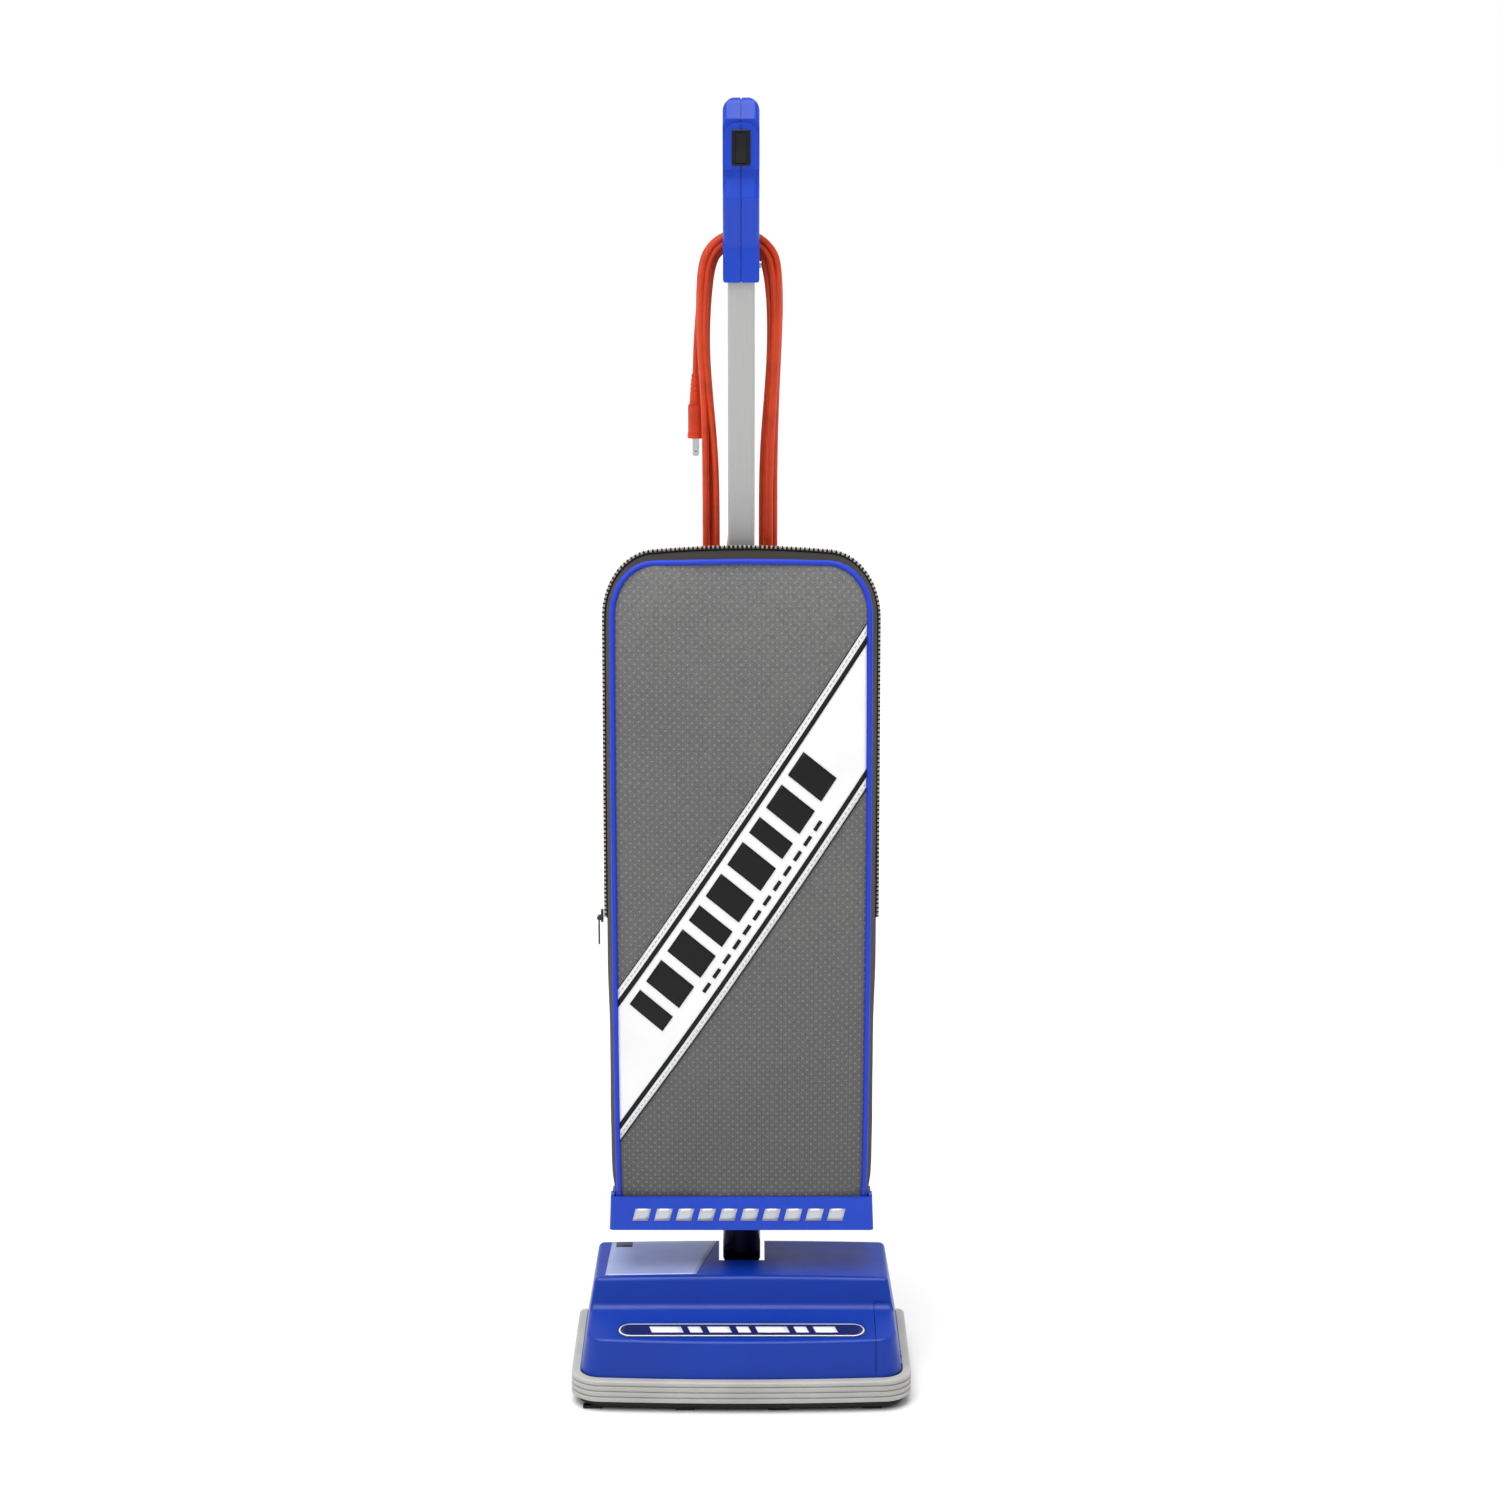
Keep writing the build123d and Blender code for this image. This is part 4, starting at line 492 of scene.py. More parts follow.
def along(table, value):
    """A smooth curve through (position, value) pairs, as a Catmull-Rom spline."""
    value = min(max(value, table[0][0]), table[-1][0])
    for i in range(len(table) - 1):
        if value <= table[i + 1][0]:
            break
    p0, p1, p2, p3 = (table[max(0, min(len(table) - 1, i + k))] for k in (-1, 0, 1, 2))
    span = p2[0] - p1[0]
    t = (value - p1[0]) / span
    m1 = (p2[1] - p0[1]) / (p2[0] - p0[0]) * span
    m2 = (p3[1] - p1[1]) / (p3[0] - p1[0]) * span
    ends = (2 * t**3 - 3 * t**2 + 1) * p1[1] + (t**3 - 2 * t**2 + t) * m1
    return ends + (-2 * t**3 + 3 * t**2) * p2[1] + (t**3 - t**2) * m2


def smooth_step(value, low, high):
    """0 below low, 1 above high, and a smooth curve between."""
    t = min(1, max(0, (value - low) / (high - low)))
    return t * t * (3 - 2 * t)


class Outline:
    """One loop of the bag seen from the front: straight sides, round shoulders and an arched top."""

    def __init__(self, table, top, corner, arch):
        """Half-widths by height, the height of the top, the shoulders' size and the top's rise."""
        self.table, self.top, self.arch = table, top - arch, arch
        self.across, self.up = corner

    def side(self, row):
        """Half-width and height at a row: 0 at the foot, ROWS at the shoulder's end."""
        start = self.top - self.up
        straight = ROWS - CORNER_ROWS
        if row <= straight:
            z = BAG_BOTTOM + (start - BAG_BOTTOM) * row / straight
            return along(self.table, z), z
        angle = math.pi / 2 * (row - straight) / CORNER_ROWS
        half = along(self.table, start) - self.across * (1 - math.cos(angle))
        return half, start + self.up * math.sin(angle)

    def lift(self, u):
        """How far the top edge rises between its ends, for u from -1 to 1."""
        return self.arch * (1 - u * u)


PIPING = Outline(PIPE_SIDE, PIPE_TOP, PIPE_CORNER, 0.002)
ZIP = Outline(ZIP_SIDE, ZIP_TOP, ZIP_CORNER, 0.0035)
BACK = Outline(BACK_SIDE, BACK_TOP, BACK_CORNER, 0.0035)


def crown(u, z):
    """How far the front panel falls back from its middle towards the piping."""
    fullness = 0.012 * smooth_step(z, 0.17, 0.34) * (1 - 0.5 * smooth_step(z, 0.6, 0.79)) + 0.001
    return fullness * abs(u) ** 2.4


def slouch(x, z):
    """The soft folds of the front cloth: strongest just above the tray, faint higher up."""
    low = 1 - smooth_step(z, 0.17, 0.30)
    place = Vector((x * 17, 3.1, z * 9))
    folds = noise.noise(place) * 0.0038 * low
    tuck = math.sin(x * 95 + 2.0 * noise.noise(Vector((x * 8, 1, z * 14)))) * 0.0011 * low
    broad = noise.noise(Vector((x * 5 + 4, 7, z * 4.2))) * 0.0030
    ripple = noise.noise(Vector((x * 16, 2.2, z * 7 + 3))) * 0.0007
    return folds + tuck + broad + ripple


def panel_depth(u, z):
    """Depth of the front panel's surface, u from -1 at the left piping to 1 at the right."""
    half = 0.118
    edge = 1 - smooth_step(abs(u), 0.8, 1.0)
    return along(FRONT_LINE, z) + crown(u, z) + slouch(u * half, z) * edge


def front_point(row, u):
    """A point of the front panel: its row, and u from -1 at the left piping to 1 at the right."""
    half, z = PIPING.side(row)
    high = smooth_step(row, ROWS - CORNER_ROWS, ROWS)
    z += PIPING.lift(u) * high
    return Vector((u * half, depth(panel_depth(u, z)), z))


def zip_depth(z):
    """Depth of the zip's line: behind the middle of the bag's side, closing in at the tray."""
    return 0.150 - 0.006 * (1 - smooth_step(z, 0.16, 0.40))


def loop_point(outline, row, u):
    """A point of an outline at its edge (u = -1 or 1) or along its top."""
    half, z = outline.side(row)
    if row == ROWS:
        z += outline.lift(u)
    y = BACK_DEPTH if outline is BACK else zip_depth(z)
    return Vector((u * half, depth(y), z))


def edge_points(point):
    """A loop from a function of row and u: up the left side, along the top, down the right side."""
    ring = [point(row, -1) for row in range(ROWS + 1)]
    ring += [point(ROWS, -1 + 2 * c / COLUMNS) for c in range(1, COLUMNS)]
    ring += [point(row, 1) for row in range(ROWS, -1, -1)]
    return ring


def ring_points(outline):
    """One of the bag's outlines as a loop."""
    return edge_points(lambda row, u: loop_point(outline, row, u))


def front_ring():
    """The front panel's edge as a loop."""
    return edge_points(front_point)


GUSSET_STEPS = 9


def gusset_between(start, end, bulge, steps):
    """Loops between two outlines, swelling outwards in the middle, softly creased."""
    loops = []
    for step in range(1, steps):
        t = step / steps
        loop = []
        for a, b in zip(start, end):
            p = a.lerp(b, t)
            out = Vector((p.x, 0, max(0, p.z - SHOULDER)))
            if out.length > 0:
                out.normalize()
            swell = bulge * 4 * t * (1 - t) * smooth_step(p.z, 0.16, 0.26)
            place = Vector((p.y * 30, p.z * 11, 2.0 + (1 if p.x > 0 else 0)))
            crease = noise.noise(place) * 0.0013 * 4 * t * (1 - t)
            loop.append(p + out * (swell + crease))
        loops.append(loop)
    return loops


def build_bag():
    """The bag as one lofted shell: dotted front panel, plain gussets and back."""
    bm = bmesh.new()
    grid = [[None] * (COLUMNS + 1) for _ in range(ROWS + 1)]
    for row in range(ROWS + 1):
        for column in range(COLUMNS + 1):
            grid[row][column] = bm.verts.new(front_point(row, -1 + 2 * column / COLUMNS))
    for row in range(ROWS):
        for column in range(COLUMNS):
            low, high = grid[row], grid[row + 1]
            bm.faces.new((low[column], low[column + 1], high[column + 1], high[column]))
    edge = [grid[row][0] for row in range(ROWS + 1)]
    edge += [grid[ROWS][c] for c in range(1, COLUMNS)]
    edge += [grid[row][COLUMNS] for row in range(ROWS, -1, -1)]
    front, middle, rear = front_ring(), ring_points(ZIP), ring_points(BACK)
    loops = [*gusset_between(front, middle, 0.0008, GUSSET_STEPS), middle]
    loops += [*gusset_between(middle, rear, 0.002, 3), rear]
    previous = edge
    for loop in loops:
        current = [bm.verts.new(p) for p in loop]
        for i in range(len(current) - 1):
            bm.faces.new((previous[i], current[i], current[i + 1], previous[i + 1])).material_index = 1
        previous = current
    count = ROWS + 1
    left = previous[:count]
    right = list(reversed(previous[-count:]))
    top = [left[-1], *previous[count:-count], right[-1]]
    back_grid = []
    for row in range(ROWS):
        inner = []
        for column in range(1, COLUMNS):
            u = -1 + 2 * column / COLUMNS
            a, b = left[row].co, right[row].co
            p = a.lerp(b, column / COLUMNS)
            p.y += 0.0008 * (1 - u * u) + noise.noise(Vector((p.x * 9, 5, p.z * 6))) * 0.0012 * (1 - u * u)
            inner.append(bm.verts.new(p))
        back_grid.append([left[row], *inner, right[row]])
    back_grid.append(top)
    for row in range(ROWS):
        for column in range(COLUMNS):
            a, b = back_grid[row], back_grid[row + 1]
            bm.faces.new((a[column], b[column], b[column + 1], a[column + 1])).material_index = 1
    bottom = [grid[0][c] for c in range(COLUMNS + 1)]
    bottom_back = back_grid[0]
    for c in range(COLUMNS):
        bm.faces.new((bottom[c + 1], bottom[c], bottom_back[c], bottom_back[c + 1])).material_index = 1
    bag = bmesh_object("cloth_bag", bm)
    bag.data.materials.append(dotted_cloth().material)
    bag.data.materials.append(plain_cloth("bag_side_cloth", "272420").material)
    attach(bag, "handle")
    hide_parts("dust_bag")
    return bag


def outward(point, amount):
    """A point moved away from the bag's vertical axis, in the front view."""
    out = Vector((point.x, 0, max(0, point.z - SHOULDER)))
    return point + out.normalized() * amount


def build_piping():
    """The blue cord sewn round the front panel's edge."""
    ring = [outward(p, 0.0012) + Vector((0, -0.0008, 0)) for p in front_ring()]
    ring = [p for p in ring if p.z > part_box("bag_tray")[1][2] - 0.012]
    piping = curve_object("bag_piping", ring[::2] + ring[-1:], 0.0026)
    paint = Paint("piping_cloth", srgb("1b3ac4"), 0.5, Specular_IOR_Level=0.3)
    twist = paint.noise(1.0, 2, paint.scaled(900, 900, 1400))
    paint.tint(paint.remap(twist, 0.4, 0.7, 0, 0.6), srgb("1c36b4"))
    paint.bump(twist, 0.3, 0.0002)
    finish_piece(piping, paint, "handle")


# ---------------------------------------------------------------- diagonal band on the bag
BAND_LOW = (0.2383, 0.3964)  # heights of the band's two edges at the left piping
BAND_HIGH = (0.5872, 0.7431)  # and at the right piping
BAND_SIDE = 0.1166
BAND_ANGLE = math.atan2(BAND_HIGH[0] - BAND_LOW[0], 2 * BAND_SIDE)
BAND_MIDDLE = 0.2756  # distance along the low edge of the band's centre
BAND_STEPS, BAND_THICKNESS = 90, 0.0005
PRINT_LIFT = 0.0011  # how far the printed bars stand in front of the cloth
BAR_COUNT, BAR_GAP, BAR_SLANT = 9, 0.0105, 0.004
BAR_SHORT, BAR_LONG, BAR_RANGE = 0.018, 0.026, (0.030, 0.070)
DASH_COUNT, DASH_PITCH, DASH_LENGTH, DASH_RANGE = 12, 0.017, 0.0105, (0.018, 0.0215)


def band_height(side, across):
    """Height in the band: side from 0 at the left piping to 1 at the right, across from 0 low to 1 high."""
    low = BAND_LOW[0] + (BAND_HIGH[0] - BAND_LOW[0]) * side
    high = BAND_LOW[1] + (BAND_HIGH[1] - BAND_LOW[1]) * side
    return low + (high - low) * across


def on_bag(x, z, lift):
    """A point on the front panel's surface, a little in front of it."""
    half = along(PIPE_SIDE, z)
    u = max(-1, min(1, x / half))
    return Vector((x, depth(panel_depth(u, z)) - lift, z))


def band_strip(name, low, high, lift, paint, rows):
    """A strip of the band between two fractions of its width, lying on the cloth."""
    lines = []
    for j in range(rows + 1):
        across = low + (high - low) * j / rows
        line = []
        for i in range(BAND_STEPS + 1):
            side = i / BAND_STEPS
            line.append(on_bag(-BAND_SIDE + 2 * BAND_SIDE * side, band_height(side, across), lift))
        lines.append(line)
    finish_piece(sheet_object(name, lines, BAND_THICKNESS, 1), paint, "handle")


def band_bar(name, start, length, low, high, paint, slant):
    """A bar across the band: its place and length along the band, and its two distances from the low edge."""
    steps, rows = 6, 10
    run, rise = math.cos(BAND_ANGLE), math.sin(BAND_ANGLE)
    lines = []
    for j in range(rows + 1):
        t = low + (high - low) * j / rows
        line = []
        for i in range(steps + 1):
            s = start + length * i / steps + slant * (j / rows - 0.5)
            line.append(on_bag(-BAND_SIDE + s * run - t * rise, BAND_LOW[0] + s * rise + t * run, PRINT_LIFT))
        lines.append(line)
    finish_piece(sheet_object(name, lines, BAND_THICKNESS, 1), paint, "handle")


def printed(name, code, roughness=0.7):
    """Printed or sewn-on cloth with a fine weave."""
    paint = Paint(name, srgb(code), roughness, Specular_IOR_Level=0.3)
    weave = woven(paint, 2400)
    paint.tint(paint.remap(paint.noise(16, 3), 0.4, 0.7, 0, 0.5), tuple(c * 0.9 for c in srgb(code)))
    paint.bump(weave, 0.2, 0.00015)
    return paint


def stitch_row(name, across, paint):
    """Short raised stitches along the band."""
    bm = bmesh.new()
    pitch, length, radius = 0.0052, 0.0034, 0.00042
    run = 2 * BAND_SIDE
    rise = BAND_HIGH[0] - BAND_LOW[0]
    total = math.hypot(run, rise)
    count = int(total / pitch)
    for i in range(count):
        mid = (i + 0.5) / count
        half = length / total / 2
        ends = []
        for side in (mid - half, mid + half):
            ends.append(on_bag(-BAND_SIDE + run * side, band_height(side, across), 0.0012))
        direction = (ends[1] - ends[0]).normalized()
        turn = Vector((0, 0, 1)).rotation_difference(direction).to_matrix().to_4x4()
        place = Matrix.Translation((ends[0] + ends[1]) / 2) @ turn
        bmesh.ops.create_cone(
            bm, cap_ends=True, segments=6, radius1=radius, radius2=radius,
            depth=(ends[1] - ends[0]).length, matrix=place,
        )
    finish_piece(bmesh_object(name, bm), paint, "handle")


def build_band():
    """The diagonal band: a white field, black lines and rims, stitches and a generic mark."""
    white = printed("band_white", "f2f2f2")
    black = printed("band_black", "08080a", 0.6)
    thread = Paint("band_thread", srgb("b2b3b6"), 0.6)
    thread.bump(thread.noise(3000, 2), 0.4, 0.0002)
    thread.tint(thread.remap(thread.noise(1200, 2), 0.4, 0.7, 0, 0.6), srgb("8f8f8f"))
    band_strip("band_field", 0.0, 1.0, 0.0004, white, rows=26)
    for name, low, high in (("low", 0.078, 0.128), ("high", 0.872, 0.922)):
        band_strip("band_line_" + name, low, high, 0.0010, black, rows=2)
    for name, low, high in (("low", 0.0, 0.012), ("high", 0.988, 1.0)):
        band_strip("band_rim_" + name, low, high, 0.0010, black, rows=1)
    stitch_row("band_stitches_low", 0.045, thread)
    stitch_row("band_stitches_high", 0.955, thread)
    # a generic mark: bold bars of two widths above a thin dashed rule
    place = BAND_MIDDLE - 0.153
    for i in range(BAR_COUNT):
        length = BAR_LONG if i % 3 else BAR_SHORT
        band_bar(f"band_bar_{i}", place, length, *BAR_RANGE, black, BAR_SLANT)
        place += length + BAR_GAP
    for i in range(DASH_COUNT):
        place = BAND_MIDDLE - 0.10 + i * DASH_PITCH
        band_bar(f"band_dash_{i}", place, DASH_LENGTH, *DASH_RANGE, black, 0)


# ---------------------------------------------------------------- zip
ZIP_PITCH = 0.0021


def zip_line():
    """Points and outward directions along the closed zip, from its left end over the top to its right end."""
    ring = [p for p in ring_points(ZIP) if p.z > ZIP_LOW]
    points = []
    carried = 0.0
    for a, b in zip(ring, ring[1:]):
        length = (b - a).length
        if length < 1e-7:
            continue
        while carried < length:
            points.append((a.lerp(b, carried / length), (b - a).normalized()))
            carried += ZIP_PITCH
        carried -= length
    return points


def build_zip():
    """Two rows of meshing teeth on a cloth tape."""
    paints = []
    # painted glint: the pale row of teeth stands in for the light glints on the zip's dark teeth; the dark
    # row has the teeth's own colour
    for name, code, spot in (("zip_tooth_painted_glint", "ddd6c2", "a39b88"), ("zip_tooth_dark", "26241f", "141310")):
        paint = Paint(name, srgb(code), 0.35, 0.3)
        paint.tint(paint.remap(paint.noise(400, 2), 0.4, 0.7, 0, 0.8), srgb(spot))
        paint.bump(paint.noise(2000, 2), 0.2, 0.00005)
        paints.append(paint)
    for parity, paint in enumerate(paints):
        bm = bmesh.new()
        for place, tangent in zip_line()[parity::2]:
            out = Vector((-tangent.z, 0, tangent.x))
            centre = place + out * 0.0016 + Vector((0, 0.0006 if parity else -0.0006, 0))
            axes = Matrix((tangent, Vector((0, 1, 0)), out)).transposed().to_4x4()
            matrix = Matrix.Translation(centre) @ axes @ Matrix.Diagonal((0.0017, 0.0040, 0.0026, 1))
            bmesh.ops.create_cube(bm, size=1, matrix=matrix)
        teeth = bmesh_object("zip_teeth_dark" if parity else "zip_teeth_painted_glint", bm, smooth=False)
        bevelled(teeth, 0.0004)
        finish_piece(teeth, paint, "handle")
    ring = [outward(p, 0.0002) for p in ring_points(ZIP) if p.z > ZIP_LOW - 0.004]
    half_tape = Vector((0, 0.0062, 0))
    tape = sheet_object("zip_tape", [(p - half_tape, p + half_tape) for p in ring], 0.0008, 0)
    finish_piece(tape, plain_cloth("zip_tape_cloth", "1b1b1c", 3000), "handle")
    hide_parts("zipper")


# ---------------------------------------------------------------- cord
LEAD_ROUTE = [
    (0.0, 0.228, 1.073),
    (0.0, 0.228, 1.036),
    (-0.0015, 0.226, 0.990),
    (-0.0035, 0.221, 0.930),
    (-0.0065, 0.214, 0.855),
    (-0.0125, 0.208, 0.775),
    (-0.023, 0.2045, 0.700),
]
TAIL_ROUTE = [
    (-0.030, 0.2085, 1.077),
    (-0.0355, 0.213, 1.055),
    (-0.0392, 0.2185, 1.032),
    (-0.0414, 0.2232, 1.008),
    (-0.0429, 0.226, 0.984),
    (-0.0436, 0.2265, 0.9615),
]
CORD_DIAMETER, CORD_LENGTH = 0.0062, 9.14
HANK_TOP, HANK_LOW = 1.060, 0.545
# half-width of the hank's inner and outer edge by height, on its left and on its right
LEFT_INNER = [
    (0.88, 0.0209), (0.915, 0.0240), (0.955, 0.0272), (0.985, 0.0288),
    (1.014, 0.0284), (1.04, 0.0258), (1.06, 0.0205),
]
LEFT_OUTER = [
    (0.88, 0.0370), (0.915, 0.0379), (0.955, 0.0392), (0.985, 0.0420),
    (1.014, 0.0434), (1.04, 0.0427), (1.06, 0.0398),
]
RIGHT_INNER = [
    (0.88, 0.0163), (0.915, 0.0187), (0.955, 0.0218), (1.0, 0.0237), (1.033, 0.0227), (1.06, 0.0192),
]
RIGHT_OUTER = [
    (0.88, 0.0343), (0.915, 0.0353), (0.955, 0.0365), (1.0, 0.0388), (1.033, 0.0398), (1.06, 0.0382),
]
LEFT, RIGHT = (LEFT_INNER, LEFT_OUTER), (RIGHT_INNER, RIGHT_OUTER)
FIRST_LAYER, LAYER_STEP = 0.1958, 0.0066  # depth of the hank's layer 0, and from one layer to the next
TAIL_RADIUS, TAIL_DEPTH = 0.0345, 0.2040  # where the last turn hands over to the tail
# each turn's places, from 0 at the inner edge to 1 at the outer, and its layers:
# left run, left bulge, right run, right bulge, top arc, left layer, right layer
TURNS = [
    (0.00, 0.00, 0.00, 0.10, 0.00, 2.0, 1.0),
    (0.00, 0.15, 0.35, 0.55, 0.50, 1.0, 0.0),
    (0.00, 0.45, 0.66, 0.85, 1.00, 0.0, 0.0),
    (1.00, 0.85, 1.00, 1.00, 0.95, 0.0, 1.1),
    (1.00, 1.00, 0.30, 0.45, 0.45, 1.0, 2.0),
    (1.00, 0.70, 0.70, 0.70, 0.10, 2.0, 2.1),
    (0.50, 0.30, 1.00, 0.90, 0.70, 2.9, 2.9),
]
ARC_POINTS = 6
RELIEF_RINGS, PLUG_RINGS = 8, 5


def strand(side, place, z):
    """Half-width of a strand at a height, between the hank's two edges on its LEFT or RIGHT side."""
    inner, outer = side
    low = along(inner, z) + CORD_DIAMETER / 2
    return low + (along(outer, z) - CORD_DIAMETER / 2 - low) * place


def arc(side, z, first, last, deep, turn):
    """Points half round an end of the hank; the radius and depth change evenly from first to last."""
    step = math.pi / ARC_POINTS
    stretch = 1 / math.cos(step / 2)
    made = []
    for k in range(ARC_POINTS):
        angle = step * (k + 0.5)
        mix = k / (ARC_POINTS - 1)
        radius = (first + (last - first) * mix) * stretch
        y = deep[0] + (deep[1] - deep[0]) * mix
        made.append((-side * radius * math.cos(angle), y, z + turn * radius * math.sin(angle)))
    return made


def layer_depth(layer):
    """Distance of a layer of the hank behind the bumper's front edge."""
    return FIRST_LAYER + LAYER_STEP * layer


def bulge_spots(run, bulge):
    """Heights and places of a strand from the hank's widest stretch down to its straight run."""
    return ((1.035, bulge), (0.990, bulge), (0.945, (run + bulge) / 2), (0.885, run))


def hank_points():
    """The turns' control points: down the left side, round the bottom, up the right, over the top."""
    points = []
    loose = random.Random(11)
    for index, turn in enumerate(TURNS):
        left, left_bulge, right, right_bulge, top, left_layer, right_layer = turn
        y_left, y_right = layer_depth(left_layer), layer_depth(right_layer)
        sway = loose.uniform(-0.0007, 0.0007)
        if index:  # the lead stands in for the first turn's way down
            for z, place in bulge_spots(left, left_bulge):
                points.append((-strand(LEFT, place, z) + sway * 0.5, y_left, z))
            points.append((-strand(LEFT, left, 0.8) + sway, y_left, 0.800))
            points.append((-strand(LEFT, left, 0.7) - sway, y_left + 0.0004, 0.710))
        points.append((-strand(LEFT, left, 0.62), y_left, 0.620))
        radius_left = strand(LEFT, left, 0.6)
        radius_right = strand(RIGHT, right, 0.6)
        points += arc(1, HANK_LOW, radius_left, radius_right, (y_left, y_right), -1)
        points.append((radius_right, y_right, 0.620))
        points.append((radius_right + sway, y_right, 0.710))
        points.append((radius_right - sway, y_right - 0.0004, 0.800))
        for z, place in reversed(bulge_spots(right, right_bulge)):
            points.append((strand(RIGHT, place, z), y_right, z))
        start = strand(RIGHT, top, 1.06)
        if index + 1 < len(TURNS):
            after = TURNS[index + 1]
            end = strand(LEFT, after[1], 1.055)
            points += arc(-1, HANK_TOP, start, end, (y_right, layer_depth(after[5])), 1)
    # the last turn goes on into the tail, a point before its arc ends
    points += arc(-1, HANK_TOP, start, TAIL_RADIUS, (y_right, TAIL_DEPTH), 1)[:-1]
    return points


def build_cord():
    """The cord as one curve: the lead, the hank's turns and the tail with the plug."""
    route = [*LEAD_ROUTE, *hank_points(), *TAIL_ROUTE]
    data = bpy.data.curves.new("power_cord", "CURVE")
    data.dimensions = "3D"
    data.bevel_depth = CORD_DIAMETER / 2
    data.bevel_resolution = 4
    data.resolution_u = 8
    spline = data.splines.new("NURBS")
    spline.points.add(len(route) - 1)
    for point, (x, behind, z) in zip(spline.points, route):
        point.co = (x, depth(behind), z, 1)
    spline.order_u = 3
    spline.use_endpoint_u = True
    cord = bpy.data.objects.new("power_cord", data)
    bpy.context.collection.objects.link(cord)
    finish_piece(cord, vinyl_cord(), "handle")
    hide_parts("cord_lead", "cord_hank", "cord_tail")
    x, behind, z = LEAD_ROUTE[0]


def ring_on(bm, place, radius, thickness):
    """Adds a flat round ring across the cord."""
    bmesh.ops.create_cone(
        bm, cap_ends=True, segments=32, radius1=radius, radius2=radius, depth=thickness,
        matrix=Matrix.Translation(place),
    )


def build_ribs():
    """Raised rings on the strain relief under the grip, and the plug's collar."""
    low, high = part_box("strain_relief")
    x, y = (low[0] + high[0]) / 2, (low[1] + high[1]) / 2
    wide, slim = (high[0] - low[0]) / 2, CORD_DIAMETER / 2 + 0.001
    bm = bmesh.new()
    for i in range(RELIEF_RINGS):
        z = low[2] + 0.003 + i * (high[2] - low[2] - 0.008) / RELIEF_RINGS
        radius = slim + (wide * 0.72 - slim) * (z - low[2]) / (high[2] - low[2]) + 0.0009
        ring_on(bm, (x, y, z), radius, 0.0017)
    low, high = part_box("plug_body")
    x, y = (low[0] + high[0]) / 2, (low[1] + high[1]) / 2
    for i in range(PLUG_RINGS):
        ring_on(bm, (x, y, high[2] - 0.002 - i * 0.0042), 0.0043 + i * 0.00035, 0.0021)
    ribs = bmesh_object("relief_ribs", bm, smooth=False)
    bevelled(ribs, 0.0005).limit_method = "ANGLE"
    finish_piece(ribs, vinyl_cord(), "handle")


# ---------------------------------------------------------------- labels and printed patterns
def surface_of(node):
    """A ray-castable copy of a CAD part, in world space."""
    obj = frame["nodes"][node]
    bm = bmesh.new()
    bm.from_mesh(obj.data)
    bm.transform(obj.matrix_world)
    tree = BVHTree.FromBMesh(bm)
    bm.free()
    return tree


def laid_patch(name, grid, tree, start, direction, lift, paint, body):
    """A thin sheet over a grid of (a, b) spots, dropped on a surface along a direction."""
    lines = []
    for spots in grid:
        line = []
        for spot in spots:
            origin = start(*spot)
            hit = tree.ray_cast(origin, direction)[0]
            line.append((hit or origin) - direction * lift)
        lines.append(line)
    finish_piece(sheet_object(name, lines, LABEL_THICKNESS, 0), paint, body)


DOWN, REARWARD = Vector((0, 0, -1)), Vector((0, 1, 0))
LABEL_THICKNESS = 0.0002
LABEL_BARS, LABEL_GAP = (0.030, 0.012, 0.021, 0.012, 0.030, 0.012, 0.021), 0.0065
TRAY_BARS, TRAY_PITCH, TRAY_BAR = 10, 0.0208, 0.0150
TRAY_LOW, TRAY_HIGH = 0.1595, 0.1715
BAR_LEAN = 0.003  # how far a bar's far edge is shifted sideways


def above(x, behind):
    """A point over the hood, from which a spot drops down on it."""
    return Vector((x, depth(behind), 0.16))


def before(x, z):
    """A point in front of the tray, from which a spot moves back on to it."""
    return Vector((x, depth(0.03), z))


def box_grid(a0, a1, b0, b1, columns, rows, slant=0.0):
    """Rows of spots over a rectangle, or a slanted bar."""
    grid = []
    for j in range(rows + 1):
        b = b0 + (b1 - b0) * j / rows
        grid.append([(a0 + (a1 - a0) * i / columns + slant * j / rows, b) for i in range(columns + 1)])
    return grid


def capsule_grid(x0, x1, d0, d1, inset, columns=60, rows=12):
    """Rows of spots over a shape with half-round ends."""
    radius = (d1 - d0) / 2 - inset
    middle = (d0 + d1) / 2
    grid = []
    for j in range(rows + 1):
        angle = math.pi * (j / rows - 0.5)
        offset, reach = radius * math.sin(angle), radius * math.cos(angle)
        left, right = x0 + inset + radius - reach, x1 - inset - radius + reach
        grid.append([(left + (right - left) * i / columns, middle + offset) for i in range(columns + 1)])
    return grid


def label_paint(name, code, roughness=0.3, metallic=0.0):
    """Printed label film: an even colour with faint mottling and fine grain."""
    paint = Paint(name, srgb(code), roughness, metallic)
    paint.tint(paint.remap(paint.noise(40, 3), 0.4, 0.7, 0, 0.5), tuple(c * 0.88 for c in srgb(code)))
    paint.rough(paint.noise(90, 3), max(0.05, roughness - 0.08), roughness + 0.12)
    paint.bump(paint.noise(1200, 2), 0.15, 0.00003)
    return paint


